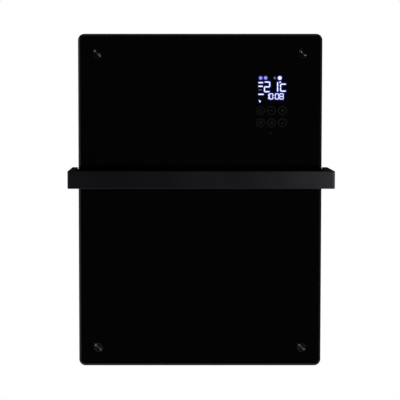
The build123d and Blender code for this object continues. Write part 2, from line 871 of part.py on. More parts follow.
# Rail brackets: a flange on the front plate behind the glass, and a tongue inside the rail's arm
with BuildPart() as rail_bracket_right:
    flange_middle = plate_front + rail_bracket_sheet / 2
    with BuildSketch(level(rail_above_centre)):
        with BuildLine():
            Polyline(
                (rail_bracket_inside, -flange_middle),
                (arm_middle, -flange_middle),
                (arm_middle, -rail_bracket_front - rail_bracket_reach),
            )
        trace(line_width=rail_bracket_sheet)
    extrude(amount=rail_bracket_height / 2, both=True)
    bracket_bends = rail_bracket_right.edges().filter_by(Axis.Z).group_by(Axis.Y)[-1]
    fillet(bracket_bends.sort_by(Axis.X)[-1], radius=rail_bracket_sheet / 2)
    with BuildSketch(facing(plate_front)):
        with Locations(rail_screw_points):
            Circle(rail_screw_radius + thread_gap)
    extrude(amount=rail_bracket_sheet, mode=Mode.SUBTRACT)
    with BuildSketch(sideways(arm_middle, grub_out, rail_above_centre)):
        Circle(rail_screw_radius + thread_gap)
    extrude(amount=rail_bracket_sheet, both=True, mode=Mode.SUBTRACT)
rail_bracket_right.part.label = "rail_bracket_right"
export_step(rail_bracket_right.part, "parts/rail_bracket_right.step")

with BuildPart() as rail_bracket_left:
    mirror(rail_bracket_right.part, about=Plane.YZ)
rail_bracket_left.part.label = "rail_bracket_left"
export_step(rail_bracket_left.part, "parts/rail_bracket_left.step")

# Four flange screws, and a grub screw through the inner side of each arm
with BuildPart() as rail_screws:
    with BuildSketch(facing(rail_bracket_front)):
        with Locations(rail_screw_points):
            Circle(rail_screw_head_radius)
    extrude(amount=rail_screw_head_height)
    chamfer(rail_screws.faces().group_by(Axis.Y)[0].edges(), length=rail_screw_head_height / 3)
    with BuildSketch(facing(rail_bracket_front)):
        with Locations(rail_screw_points):
            Circle(rail_screw_radius)
    extrude(amount=-(rail_bracket_sheet + small_screw_length))
    for side in (-1, 1):
        with BuildSketch(sideways(side * (arm_inside + fit_gap), grub_out, rail_above_centre)):
            Circle(rail_screw_radius)
        extrude(amount=side * rail_thickness / 2)
rail_screws.part.label = "rail_screws"
export_step(rail_screws.part, "parts/rail_screws.step")

# Control board on its snap posts, with the parts soldered to its front
board_z = -board_below_centre
board_hole_pitch_x = board_width - 2 * board_hole_inset
board_hole_pitch_z = board_height - 2 * board_hole_inset
with BuildPart() as power_board:
    with BuildSketch(facing(board_out, control_x, board_z)):
        RectangleRounded(board_width, board_height, board_hole_inset / 2)
        with GridLocations(board_hole_pitch_x, board_hole_pitch_z, 2, 2):
            Circle(small_screw_radius + fit_gap, mode=Mode.SUBTRACT)
    extrude(amount=board_thickness)
power_board.part.label = "power_board"
export_step(power_board.part, "parts/power_board.step")

with BuildPart() as board_standoffs:
    for start, radius, length in (
        (casing_inside, board_post_radius, board_standoff),
        (board_out, small_screw_radius, board_thickness),
        (board_front, small_head_radius, small_head_height),
    ):
        with BuildSketch(facing(start, control_x, board_z)):
            with GridLocations(board_hole_pitch_x, board_hole_pitch_z, 2, 2):
                Circle(radius)
        extrude(amount=length)
    chamfer(board_standoffs.faces().group_by(Axis.Y)[0].edges(), length=small_head_height / 2)
board_standoffs.part.label = "board_standoffs"
export_step(board_standoffs.part, "parts/board_standoffs.step")

relay_width, relay_height, relay_depth = relay_size
relay_x = control_x - board_width / 2 + relay_width / 2 + board_hole_inset
with BuildPart() as power_relay:
    with BuildSketch(facing(board_front, relay_x, board_z)):
        Rectangle(relay_width, relay_height)
    extrude(amount=relay_depth)
    chamfer(power_relay.faces().sort_by(Axis.Y)[0].edges(), length=small_head_height / 2)
power_relay.part.label = "power_relay"
export_step(power_relay.part, "parts/power_relay.step")

transformer_width, transformer_height, transformer_depth = transformer_size
transformer_x = control_x + board_width / 2 - transformer_width / 2 - board_hole_inset
with BuildPart() as transformer:
    with BuildSketch(facing(board_front, transformer_x, board_z)):
        Rectangle(transformer_width, transformer_height / 2)
    extrude(amount=transformer_depth)
    winding_width = transformer_width - 2 * transformer_core / 2
    with BuildSketch(facing(board_front, transformer_x, board_z)):
        RectangleRounded(winding_width, transformer_height, transformer_core / 2)
    extrude(amount=transformer_depth - transformer_core / 2)
transformer.part.label = "transformer"
export_step(transformer.part, "parts/transformer.step")

capacitor_z = board_z - relay_height / 2 - 2 * capacitor_radius
with BuildPart() as capacitor:
    with BuildSketch(facing(board_front, control_x, capacitor_z)):
        Circle(capacitor_radius)
    extrude(amount=capacitor_height)
    fillet(capacitor.faces().sort_by(Axis.Y)[0].edges(), radius=capacitor_radius / 6)
capacitor.part.label = "capacitor"
export_step(capacitor.part, "parts/capacitor.step")

# Mains terminal block on the casing's back, with a screw well for each way
with BuildPart() as terminal_block:
    with BuildSketch(facing(casing_inside, control_x, terminal_z)):
        Rectangle(terminal_width + terminal_pitch / 2, terminal_height)
    extrude(amount=terminal_depth)
    chamfer(terminal_block.faces().sort_by(Axis.Y)[0].edges().filter_by(Axis.X), length=terminal_depth / 5)
    with Locations(facing(casing_inside + terminal_depth, control_x, terminal_z)):
        with GridLocations(terminal_pitch, 0, terminal_ways, 1):
            Hole(small_head_radius, depth=terminal_depth / 3)
terminal_block.part.label = "terminal_block"
export_step(terminal_block.part, "parts/terminal_block.step")

# Display housing: a moulded tray let into the front plate, with ears, posts and a cable slot
display_board_width = housing_width - 2 * (housing_wall + display_board_margin)
display_board_height = housing_height - 2 * (housing_wall + display_board_margin)
post_pitch_x = display_board_width - 2 * display_post_inset
post_pitch_z = display_board_height - 2 * display_post_inset
ribbon_z = housing_z - housing_height / 2 + 3 * display_post_inset
with BuildPart() as display_housing:
    with BuildSketch(facing(housing_back, display_x, housing_z)):
        RectangleRounded(housing_width, housing_height, housing_corner)
    extrude(amount=housing_depth)
    with BuildSketch(facing(plate_front, display_x, housing_z)):
        RectangleRounded(housing_width + 2 * housing_ear, housing_height + 2 * housing_ear, housing_corner)
        with GridLocations(ear_pitch_x, ear_pitch_z, 2, 2):
            Circle(small_screw_radius + thread_gap, mode=Mode.SUBTRACT)
    extrude(amount=housing_wall)
    with BuildSketch(facing(housing_back + housing_wall, display_x, housing_z)):
        RectangleRounded(
            housing_width - 2 * housing_wall,
            housing_height - 2 * housing_wall,
            housing_corner - housing_wall,
        )
    extrude(amount=housing_depth, mode=Mode.SUBTRACT)
    with BuildSketch(facing(housing_back + housing_wall, display_x, housing_z)):
        with GridLocations(post_pitch_x, post_pitch_z, 2, 2):
            Circle(display_post_radius)
            Circle(small_screw_radius + thread_gap, mode=Mode.SUBTRACT)
    extrude(amount=display_board_back - housing_wall)
    with BuildSketch(facing(housing_back, display_x, ribbon_z)):
        Rectangle(ribbon_width + 2 * display_post_inset / 2, display_post_inset)
    extrude(amount=housing_wall, mode=Mode.SUBTRACT)
display_housing.part.label = "display_housing"
export_step(display_housing.part, "parts/display_housing.step")

with BuildPart() as display_tape:
    with BuildSketch(facing(housing_front, display_x, housing_z)):
        RectangleRounded(housing_width, housing_height, housing_corner)
        Rectangle(housing_width - 4 * housing_wall, housing_height - 4 * housing_wall, mode=Mode.SUBTRACT)
    extrude(amount=tape_thickness)
display_tape.part.label = "display_tape"
export_step(display_tape.part, "parts/display_tape.step")

with BuildPart() as display_board:
    with BuildSketch(facing(display_board_out, display_x, housing_z)):
        RectangleRounded(display_board_width, display_board_height, housing_wall)
        with GridLocations(post_pitch_x, post_pitch_z, 2, 2):
            Circle(small_screw_radius + thread_gap, mode=Mode.SUBTRACT)
    extrude(amount=display_board_thickness)
display_board.part.label = "display_board"
export_step(display_board.part, "parts/display_board.step")

# Screws of the display: four hold the board on its posts and four hold the housing's ears
with BuildPart() as display_screws:
    for seat, pitch_x, pitch_z in (
        (display_board_front, post_pitch_x, post_pitch_z),
        (plate_front + housing_wall, ear_pitch_x, ear_pitch_z),
    ):
        with BuildSketch(facing(seat, display_x, housing_z)):
            with GridLocations(pitch_x, pitch_z, 2, 2):
                Circle(small_head_radius)
        extrude(amount=small_head_height)
        with BuildSketch(facing(seat, display_x, housing_z)):
            with GridLocations(pitch_x, pitch_z, 2, 2):
                Circle(small_screw_radius)
        extrude(amount=-small_screw_length)
display_screws.part.label = "display_screws"
export_step(display_screws.part, "parts/display_screws.step")

with BuildPart() as led_display:
    with BuildSketch(facing(display_board_front, display_x, display_z)):
        Rectangle(display_width, display_height)
    extrude(amount=display_depth)
    chamfer(led_display.faces().sort_by(Axis.Y)[0].edges(), length=display_depth / 8)
led_display.part.label = "led_display"
export_step(led_display.part, "parts/led_display.step")

# Conductive pads between the board and the back of the glass, one for each touch key
key_z = display_z - key_first_below_display - key_pitch_z / 2
with BuildPart() as touch_pads:
    with BuildSketch(facing(display_board_front, display_x + key_shift_x, key_z)):
        with GridLocations(key_pitch_x, key_pitch_z, 3, 2):
            Circle(key_radius)
    extrude(amount=glass_back - display_board_front)
touch_pads.part.label = "touch_pads"
export_step(touch_pads.part, "parts/touch_pads.step")

with BuildPart() as buzzer:
    buzzer_place = facing(
        display_board_front, display_x - buzzer_left_of_display, display_z - buzzer_below_display
    )
    with BuildSketch(buzzer_place):
        Circle(buzzer_radius)
    extrude(amount=buzzer_height)
    fillet(buzzer.faces().sort_by(Axis.Y)[0].edges(), radius=buzzer_radius / 6)
    with Locations(buzzer_place.offset(buzzer_height)):
        Hole(buzzer_radius / 5, depth=buzzer_height / 5)
buzzer.part.label = "buzzer"
export_step(buzzer.part, "parts/buzzer.step")

# Flat ribbon cable from the back of the display board to the front of the control board
ribbon_foot = board_z + board_height / 2 - 3 * board_hole_inset
with BuildPart() as ribbon_cable:
    with BuildSketch(sideways(display_x)):
        with BuildLine():
            FilletPolyline(
                (-display_board_out, ribbon_z),
                (-ribbon_out, ribbon_z),
                (-ribbon_out, ribbon_foot),
                (-board_front, ribbon_foot),
                radius=ribbon_bend,
            )
        trace(line_width=ribbon_thickness)
    extrude(amount=ribbon_width / 2, both=True)
ribbon_cable.part.label = "ribbon_cable"
export_step(ribbon_cable.part, "parts/ribbon_cable.step")

# Rocker switch in the casing's right side: a flanged body, its tabs and the rocker
pivot_x = casing_side + switch_flange - rocker_pivot_depth
with BuildPart() as switch_body:
    with BuildSketch(sideways(casing_side, flat_side_middle, switch_z)):
        RectangleRounded(switch_flange_width, switch_flange_length, switch_corner)
    extrude(amount=switch_flange)
    chamfer(switch_body.faces().sort_by(Axis.X)[-1].edges(), length=switch_corner / 3)
    with BuildSketch(sideways(casing_side, flat_side_middle, switch_z)):
        Rectangle(switch_body_width, switch_body_length)
    extrude(amount=-switch_body_depth)
    with BuildSketch(sideways(casing_side + switch_flange, flat_side_middle, switch_z)):
        Rectangle(rocker_width + 2 * slide_gap, switch_cavity_length)
    extrude(amount=-(switch_flange + switch_cavity_depth), mode=Mode.SUBTRACT)
    with BuildSketch(facing(flat_side_middle, pivot_x, switch_z)):
        Circle(trunnion_radius + trunnion_gap)
    extrude(amount=rocker_width / 2 + trunnion_length + fit_gap, both=True, mode=Mode.SUBTRACT)
switch_body.part.label = "switch_body"
export_step(switch_body.part, "parts/switch_body.step")

with BuildPart() as switch_terminals:
    with BuildSketch(sideways(casing_side - switch_body_depth, flat_side_middle, switch_z)):
        with GridLocations(0, switch_tab_pitch, 1, 2):
            Rectangle(spade_width, spade_thickness)
    extrude(amount=-spade_length)
switch_terminals.part.label = "switch_terminals"
export_step(switch_terminals.part, "parts/switch_terminals.step")

# The rocker lies tipped about its trunnions, with its upper end pressed in
upright = facing(flat_side_middle, pivot_x, switch_z)
tipped = Plane(upright.origin, x_dir=Vector(1, 0, 0).rotate(Axis.Y, -rocker_tilt), z_dir=upright.z_dir)
with BuildPart() as switch_rocker:
    with BuildSketch(tipped):
        with BuildLine():
            Polyline(
                (rocker_rise, -rocker_length / 2),
                (rocker_rise - rocker_dip, 0),
                (rocker_rise, rocker_length / 2),
                (-rocker_dip, rocker_length / 2 - rocker_pivot_depth),
                (-rocker_rise, 0),
                (-rocker_dip, rocker_pivot_depth - rocker_length / 2),
                close=True,
            )
        make_face()
    extrude(amount=rocker_width / 2, both=True)
    with BuildSketch(upright):
        Circle(trunnion_radius)
    extrude(amount=rocker_width / 2 + trunnion_length, both=True)
switch_rocker.part.label = "switch_rocker"
export_step(switch_rocker.part, "parts/switch_rocker.step")

# Cable gland in the casing's bottom, with its nut inside
gland_nut_floor = casing_sheet - casing_top
with BuildPart() as cable_gland:
    with BuildSketch(level(-casing_top, control_x, flat_side_middle)):
        RegularPolygon(gland_flange_radius, 6)
    extrude(amount=-gland_flange)
    with BuildSketch(level(-casing_top - gland_flange, control_x, flat_side_middle)):
        Circle(gland_dome_radius)
    extrude(amount=-gland_dome_length)
    fillet(cable_gland.faces().sort_by(Axis.Z)[0].edges(), radius=gland_dome_radius / 3)
    with BuildSketch(level(-casing_top, control_x, flat_side_middle)):
        Circle(gland_thread_radius)
    extrude(amount=gland_inside)
    with BuildSketch(level(-casing_top, control_x, flat_side_middle)):
        Circle(gland_bore_radius)
    extrude(amount=gland_flange + gland_dome_length, both=True, mode=Mode.SUBTRACT)
cable_gland.part.label = "cable_gland"
export_step(cable_gland.part, "parts/cable_gland.step")

with BuildPart() as gland_nut:
    with BuildSketch(level(gland_nut_floor, control_x, flat_side_middle)):
        RegularPolygon(gland_nut_width / 2, 6, major_radius=False)
        Circle(gland_thread_radius + thread_gap, mode=Mode.SUBTRACT)
    extrude(amount=gland_nut_height)
gland_nut.part.label = "gland_nut"
export_step(gland_nut.part, "parts/gland_nut.step")

# Rubber bumpers that keep the lower end off the wall, pushed through the casing's back
with BuildPart() as wall_bumpers:
    for side in (-1, 1):
        with BuildSketch(facing(casing_back, side * bumper_x, bumper_z)):
            Circle(bumper_radius)
        with BuildSketch(facing(0, side * bumper_x, bumper_z)):
            Circle(bumper_tip_radius)
        loft()
        with BuildSketch(facing(casing_back, side * bumper_x, bumper_z)):
            Circle(bumper_stem_radius)
        extrude(amount=casing_sheet)
        with BuildSketch(facing(casing_inside, side * bumper_x, bumper_z)):
            Circle(bumper_bulb_radius)
        extrude(amount=bumper_bulb)
    chamfer(wall_bumpers.faces().group_by(Axis.Y)[0].edges(), length=bumper_bulb / 2)
wall_bumpers.part.label = "wall_bumpers"
export_step(wall_bumpers.part, "parts/wall_bumpers.step")

# Room sensor on the casing's floor
sensor_x = chamber_wall_x + sensor_right_of_wall
sensor_floor = casing_sheet - casing_top
with BuildPart() as room_sensor:
    with BuildSketch(level(sensor_floor, sensor_x, flat_side_middle)):
        RectangleRounded(sensor_foot, sensor_foot, casing_sheet)
    extrude(amount=casing_sheet)
    with BuildSketch(level(sensor_floor, sensor_x, flat_side_middle)):
        Circle(sensor_radius)
    extrude(amount=sensor_height)
room_sensor.part.label = "room_sensor"
export_step(room_sensor.part, "parts/room_sensor.step")

# Earth point: a stud through the casing's back, a ring terminal and a nut
earth_x = chamber_wall_x + earth_right_of_wall
with BuildPart() as earth_screw:
    with BuildSketch(facing(casing_back, earth_x, earth_z)):
        Circle(small_head_radius + casing_sheet)
    extrude(amount=-small_head_height)
    with BuildSketch(facing(casing_back, earth_x, earth_z)):
        Circle(earth_stud_radius)
    extrude(amount=earth_stud_length)
    with BuildSketch(facing(casing_inside, earth_x, earth_z)):
        Circle(earth_ring_radius)
        Circle(earth_stud_radius + thread_gap, mode=Mode.SUBTRACT)
    extrude(amount=earth_ring)
    with BuildSketch(facing(casing_inside + earth_ring, earth_x, earth_z)):
        RegularPolygon(earth_nut_width / 2, 6, major_radius=False)
        Circle(earth_stud_radius + thread_gap, mode=Mode.SUBTRACT)
    extrude(amount=earth_nut_height)
earth_screw.part.label = "earth_screw"
export_step(earth_screw.part, "parts/earth_screw.step")


def run_lead(points, radius=lead_radius):
    """Sweeps a round lead along straight runs joined by tangent bends."""
    with BuildLine() as route:
        FilletPolyline([inside_point(*point) for point in points], radius=lead_bend)
    with BuildSketch(Plane(origin=route.line @ 0, z_dir=route.line % 0)) as profile:
        Circle(radius)
    sweep(profile.sketch, path=route.line)


# Inner leads, each given by its points: X, distance out from the wall, height above the middle
terminal_top = terminal_z + terminal_height / 2
terminal_lead_out = casing_inside + terminal_depth / 2
switch_tab_end = casing_side - switch_body_depth - spade_length
upper_tab_z = switch_z + switch_tab_pitch / 2
lower_tab_z = switch_z - switch_tab_pitch / 2
board_foot = board_z - board_height / 2
with BuildPart() as live_lead:
    run_lead(
        (
            (control_x - terminal_pitch, terminal_lead_out, terminal_top),
            (control_x - terminal_pitch, terminal_lead_out, terminal_top + live_lead_rise),
            (switch_tab_end - live_lead_run, flat_side_middle, lower_tab_z),
            (switch_tab_end, flat_side_middle, lower_tab_z),
        )
    )
live_lead.part.label = "live_lead"
export_step(live_lead.part, "parts/live_lead.step")

with BuildPart() as switch_lead:
    run_lead(
        (
            (switch_tab_end, flat_side_middle, upper_tab_z),
            (switch_tab_end - switch_lead_run, flat_side_middle, upper_tab_z),
            (switch_tab_end - switch_lead_run, flat_side_middle, board_foot + lead_landing),
            (switch_tab_end - switch_lead_run, board_front, board_foot + lead_landing),
        )
    )
switch_lead.part.label = "switch_lead"
export_step(switch_lead.part, "parts/switch_lead.step")

neutral_lead_x = control_x - neutral_lead_side
neutral_lead_out = board_front + neutral_lead_off_board
with BuildPart() as neutral_lead:
    run_lead(
        (
            (control_x, terminal_lead_out, terminal_top),
            (control_x, terminal_lead_out, terminal_top + neutral_lead_rise),
            (neutral_lead_x, neutral_lead_out, board_foot - neutral_lead_below_board),
            (neutral_lead_x, neutral_lead_out, board_foot + lead_landing),
            (neutral_lead_x, board_front, board_foot + lead_landing),
        )
    )
neutral_lead.part.label = "neutral_lead"
export_step(neutral_lead.part, "parts/neutral_lead.step")

earth_lead_out = casing_inside + earth_ring / 2
with BuildPart() as earth_lead:
    run_lead(
        (
            (control_x + terminal_pitch, terminal_lead_out, terminal_top),
            (control_x + terminal_pitch, terminal_lead_out, terminal_top + earth_lead_rise),
            (earth_x - earth_ring_radius - earth_lead_run, earth_lead_out, earth_z),
            (earth_x - earth_ring_radius, earth_lead_out, earth_z),
        )
    )
earth_lead.part.label = "earth_lead"
export_step(earth_lead.part, "parts/earth_lead.step")

cutout_tab_x = cutout_seat + cutout_flange + cutout_body_height + spade_length
upper_spade_z = cutout_cup_radius / 2 - cutout_below_centre
lower_spade_z = -cutout_cup_radius / 2 - cutout_below_centre
grommet_z = -grommet_below_centre
lane = grommet_bore_radius - lead_radius - 2 * fit_gap
cutout_lead_x = cutout_tab_x + cutout_lead_run
with BuildPart() as cutout_lead:
    run_lead(
        (
            (cutout_lead_x, board_front, board_foot + lead_landing),
            (cutout_lead_x, element_out, board_foot + lead_landing),
            (cutout_lead_x, element_out, upper_spade_z),
            (cutout_tab_x, element_out, upper_spade_z),
        )
    )
cutout_lead.part.label = "cutout_lead"
export_step(cutout_lead.part, "parts/cutout_lead.step")

pin_end = rod_half + pin_length
element_z = -element_below_centre
with BuildPart() as element_lead_right:
    run_lead(
        (
            (cutout_tab_x, element_out, lower_spade_z),
            (cutout_lead_x, element_out, lower_spade_z),
            (cutout_lead_x, element_out - lane, grommet_z),
            (chamber_x + pin_end + element_lead_run, element_out - lane, grommet_z),
            (chamber_x + pin_end + element_lead_run, element_out, element_z),
            (chamber_x + pin_end, element_out, element_z),
        )
    )
element_lead_right.part.label = "element_lead_right"
export_step(element_lead_right.part, "parts/element_lead_right.step")

element_lead_x = cutout_tab_x + element_lead_side
element_lead_out = casing_inside + element_lead_run
with BuildPart() as element_lead_left:
    run_lead(
        (
            (element_lead_x, board_front, board_foot + control_lead_landing),
            (element_lead_x, element_out + 2 * lane, board_foot + control_lead_landing),
            (element_lead_x, element_out + lane, grommet_z),
            (chamber_x + pin_end, element_out + lane, grommet_z),
            (chamber_x + pin_end - element_lead_inset, element_lead_out, element_z + element_lead_above),
            (chamber_x - pin_end + element_lead_inset, element_lead_out, element_z + element_lead_above),
            (chamber_x - pin_end - element_lead_run, element_out, element_z + element_lead_drop),
            (chamber_x - pin_end - element_lead_run, element_out, element_z),
            (chamber_x - pin_end, element_out, element_z),
        )
    )
element_lead_left.part.label = "element_lead_left"
export_step(element_lead_left.part, "parts/element_lead_left.step")

sensor_lead_x = control_x - sensor_lead_side
sensor_lead_out = flat_side_middle + sensor_lead_step
with BuildPart() as sensor_lead:
    run_lead(
        (
            (sensor_x, flat_side_middle, sensor_floor + sensor_height),
            (sensor_x, flat_side_middle, sensor_floor + sensor_height + sensor_lead_rise),
            (sensor_lead_x, sensor_lead_out, board_foot - neutral_lead_below_board),
            (sensor_lead_x, sensor_lead_out, board_foot + control_lead_landing),
            (sensor_lead_x, board_front, board_foot + control_lead_landing),
        ),
        sensor_lead_radius,
    )
sensor_lead.part.label = "sensor_lead"
export_step(sensor_lead.part, "parts/sensor_lead.step")
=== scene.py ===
"""Dresses the glass convector heater: finishes, lit display, touch keys, small details and stage.

Every size is in metres, in the frame of the solid model: the wall is the plane y = 0, the front faces -Y.
"""

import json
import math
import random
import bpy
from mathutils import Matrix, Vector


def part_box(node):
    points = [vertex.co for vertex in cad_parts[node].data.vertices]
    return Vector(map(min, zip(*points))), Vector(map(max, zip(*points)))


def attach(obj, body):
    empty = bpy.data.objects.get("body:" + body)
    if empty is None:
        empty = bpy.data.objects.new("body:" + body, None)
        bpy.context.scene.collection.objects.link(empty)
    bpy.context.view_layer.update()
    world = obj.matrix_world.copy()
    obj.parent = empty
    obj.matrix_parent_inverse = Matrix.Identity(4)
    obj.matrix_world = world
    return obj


bl_info = {
    "name": "Glass heater dressing",
    "version": (1, 0, 0),
    "blender": (4, 5, 0),
    "location": "3D View > Sidebar > Heater",
    "description": "Finishes, display, fine detail and stage of a glass convector heater with a towel rail",
    "category": "Object",
}

import bmesh
import bpy
from mathutils import Vector

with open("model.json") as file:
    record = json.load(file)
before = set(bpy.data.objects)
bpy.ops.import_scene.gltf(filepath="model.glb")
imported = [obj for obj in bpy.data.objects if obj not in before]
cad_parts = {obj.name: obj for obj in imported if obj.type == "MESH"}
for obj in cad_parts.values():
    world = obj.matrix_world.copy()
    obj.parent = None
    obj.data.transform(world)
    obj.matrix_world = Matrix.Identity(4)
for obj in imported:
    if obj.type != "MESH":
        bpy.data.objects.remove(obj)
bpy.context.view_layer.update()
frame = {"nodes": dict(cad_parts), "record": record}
nodes = frame["nodes"]

GLASS_LOW, GLASS_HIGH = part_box("glass_panel")
GLASS_FRONT = GLASS_LOW.y
PANEL_MIDDLE = (GLASS_LOW.z + GLASS_HIGH.z) / 2
CAP_LOW, CAP_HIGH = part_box("screw_caps")
CAP_RADIUS = 0.01

ALONG_X, ALONG_Y = (1.0, 0.0, 0.0), (0.0, 1.0, 0.0)
BLACK, WHITE = (0.0, 0.0, 0.0, 1.0), (1.0, 1.0, 1.0, 1.0)


# ---------------------------------------------------------------- properties


def length_property(name, default, least, description):
    return bpy.props.FloatProperty(
        name=name, description=description, default=default, min=least, unit="LENGTH"
    )


def colour_property(name, default, description):
    return bpy.props.FloatVectorProperty(
        name=name, description=description, default=default, subtype="COLOR"
    )


class HeaterSizes(bpy.types.PropertyGroup):
    mark_thickness: length_property(
        "Mark thickness", 0.00012, 0.00002, "How far the lit marks stand on the glass"
    )
    key_radius: length_property("Key radius", 0.0083, 0.001, "Radius of the ring around each touch key")
    key_line: length_property("Key line", 0.0007, 0.0001, "Width of the lines of the touch keys")
    glow_width: length_property(
        "Glow width", 0.0015, 0.0, "How far the blue halo reaches past each lit mark"
    )
    ring_pitch: length_property(
        "Turning pitch", 0.00032, 0.00001, "Distance between the lathe grooves of the screw caps"
    )
    solder_radius: length_property(
        "Solder radius", 0.0009, 0.0001, "Radius of one solder joint on the boards"
    )
    recess_length: length_property(
        "Recess length", 0.0034, 0.0005, "Length of the dark cross on a small screw's head"
    )
    chip_size: length_property(
        "Chip size", 0.0034, 0.0005, "Length of the largest small component on the power board"
    )


class HeaterColours(bpy.types.PropertyGroup):
    glass: colour_property("Glass", (0.0007, 0.0007, 0.0008), "Colour behind the black glass")
    rail: colour_property("Rail", (0.0095, 0.0086, 0.0135), "Black anodised aluminium of the towel rail")
    casing: colour_property("Casing", (0.016, 0.016, 0.0175), "Powder coat of the casing")
    light: colour_property("Display", (0.72, 0.76, 1.0), "Light of the display's segments")
    halo: colour_property("Halo", (0.03, 0.035, 0.42), "Blue halo around the segments")


def sizes():
    return bpy.context.scene.heater_sizes


def colours():
    return bpy.context.scene.heater_colours


# --------------------------------------------------------------- node helpers


def feed(tree, value, socket):
    """Links a socket to an input, or sets the input to a constant."""
    if isinstance(value, bpy.types.NodeSocket):
        tree.links.new(value, socket)
    else:
        socket.default_value = value


def node(tree, kind, inputs=None, **settings):
    """A node with its settings, whose inputs are sockets or constants."""
    made = tree.nodes.new(kind)
    for key, value in settings.items():
        setattr(made, key, value)
    for key, value in (inputs or {}).items():
        feed(tree, value, made.inputs[key])
    return made


def maths(tree, operation, *values):
    """Result of a Math node, whose inputs are sockets or numbers."""
    return node(tree, "ShaderNodeMath", dict(enumerate(values)), operation=operation).outputs[0]


def noise(tree, vector, scale, detail, roughness=0.5, distortion=0.0):
    """Value of a noise texture."""
    return node(tree, "ShaderNodeTexNoise", {
        "Vector": vector, "Scale": scale, "Detail": detail, "Roughness": roughness, "Distortion": distortion,
    }).outputs["Fac"]


def mixed(tree, factor, first, second):
    """Result of a colour mix."""
    return node(
        tree, "ShaderNodeMix", {"A": first, "B": second, "Factor": factor}, data_type="RGBA"
    ).outputs["Result"]


SOCKET_KINDS = {
    float: "NodeSocketFloat", int: "NodeSocketInt", tuple: "NodeSocketVector",
    bpy.types.Material: "NodeSocketMaterial",
}


def add_inputs(tree, inputs):
    """Input sockets of a tree, each of the kind of its value."""
    for label, value in inputs.items():
        kind = SOCKET_KINDS[type(value)]
        tree.interface.new_socket(label, in_out="INPUT", socket_type=kind).default_value = value


# ------------------------------------------------------- shared shader groups


def new_group(name, inputs, *outputs):
    """A shader group over a vector, with the sockets of its input and output nodes."""
    tree = bpy.data.node_groups.new(name, "ShaderNodeTree")
    tree.interface.new_socket("Vector", in_out="INPUT", socket_type="NodeSocketVector")
    add_inputs(tree, inputs)
    for label in outputs:
        tree.interface.new_socket(label, in_out="OUTPUT", socket_type="NodeSocketFloat")
    return tree, tree.nodes.new("NodeGroupInput").outputs, tree.nodes.new("NodeGroupOutput").inputs


def give(tree, out, **results):
    """Feeds a group's outputs and returns the group."""
    for name, value in results.items():
        feed(tree, value, out[name])
    return tree


def grain_group():
    """Fine grain of powder coat and moulded plastic: a height for bump, and a tone in patches."""
    tree, into, out = new_group("coat_grain", {"Scale": 900.0, "Patches": 9.0}, "Height", "Tone")
    fine = noise(tree, into["Vector"], into["Scale"], 3.0, 0.6)
    broad = noise(tree, into["Vector"], into["Patches"], 2.0)
    return give(tree, out, Height=fine, Tone=broad)


def brushed_group():
    """Long fine lines of brushed, drawn or rolled metal along one axis."""
    tree, into, out = new_group("brushed_lines", {"Stretch": (6.0, 700.0, 700.0)}, "Height", "Tone")
    scaled = node(tree, "ShaderNodeVectorMath", {0: into["Vector"], 1: into["Stretch"]}, operation="MULTIPLY")
    lines = noise(tree, scaled.outputs[0], 1.0, 4.0, 0.65)
    soft = noise(tree, into["Vector"], 14.0, 2.0)
    both = maths(tree, "MULTIPLY_ADD", lines, 0.7, maths(tree, "MULTIPLY", soft, 0.3))
    return give(tree, out, Height=lines, Tone=both)


def turned_group():
    """Concentric lathe grooves around four centres, mirrored about x = 0 and about a height."""
    tree, into, out = new_group(
        "turned_rings", {"Half Width": 0.21, "Half Height": 0.303, "Middle": -0.15, "Pitch": 0.0003}, "Height"
    )
    parts = node(tree, "ShaderNodeSeparateXYZ", {0: into["Vector"]}).outputs
    across = maths(tree, "SUBTRACT", maths(tree, "ABSOLUTE", parts["X"]), into["Half Width"])
    up = maths(tree, "ABSOLUTE", maths(tree, "SUBTRACT", parts["Z"], into["Middle"]))
    up = maths(tree, "SUBTRACT", up, into["Half Height"])
    squares = maths(tree, "ADD", maths(tree, "MULTIPLY", across, across), maths(tree, "MULTIPLY", up, up))
    turns = maths(tree, "DIVIDE", maths(tree, "SQRT", squares), into["Pitch"])
    return give(tree, out, Height=maths(tree, "SINE", maths(tree, "MULTIPLY", turns, 2 * math.pi)))


def handling_group():
    """Soft smudges that vary a surface's roughness and tone."""
    tree, into, out = new_group(
        "handling_marks", {"Scale": 7.0, "Low": 0.3, "High": 0.4}, "Roughness", "Mask"
    )
    patches = noise(tree, into["Vector"], into["Scale"], 5.0, 0.55, 0.4)
    span = node(tree, "ShaderNodeMapRange", {
        "Value": patches, "From Min": 0.35, "From Max": 0.65, "To Min": into["Low"], "To Max": into["High"],
    })
    return give(tree, out, Roughness=span.outputs["Result"], Mask=patches)


def spangle_group():
    """Crystal facets of zinc plate, as a tone from 0 to 1."""
    tree, into, out = new_group("zinc_spangle", {"Scale": 160.0}, "Tone")
    cells = node(tree, "ShaderNodeTexVoronoi", {
        "Vector": into["Vector"], "Scale": into["Scale"], "Randomness": 1.0,
    })
    split = node(tree, "ShaderNodeSeparateColor", {0: cells.outputs["Color"]})
    return give(tree, out, Tone=split.outputs[0])


def copper_group():
    """Printed copper runs under a board's lacquer, as a mask."""
    tree, into, out = new_group("copper_runs", {"Scale": 60.0}, "Mask")
    turned = node(tree, "ShaderNodeMapping", {"Vector": into["Vector"], "Rotation": (math.pi / 2, 0, 0)})
    runs = node(tree, "ShaderNodeTexBrick", {
        "Vector": turned.outputs[0], "Scale": into["Scale"], "Color1": BLACK, "Color2": BLACK,
        "Mortar": WHITE, "Mortar Size": 0.05, "Mortar Smooth": 0.05, "Brick Width": 0.9, "Row Height": 0.28,
    }, offset=0.35)
    return give(tree, out, Mask=runs.outputs["Fac"])


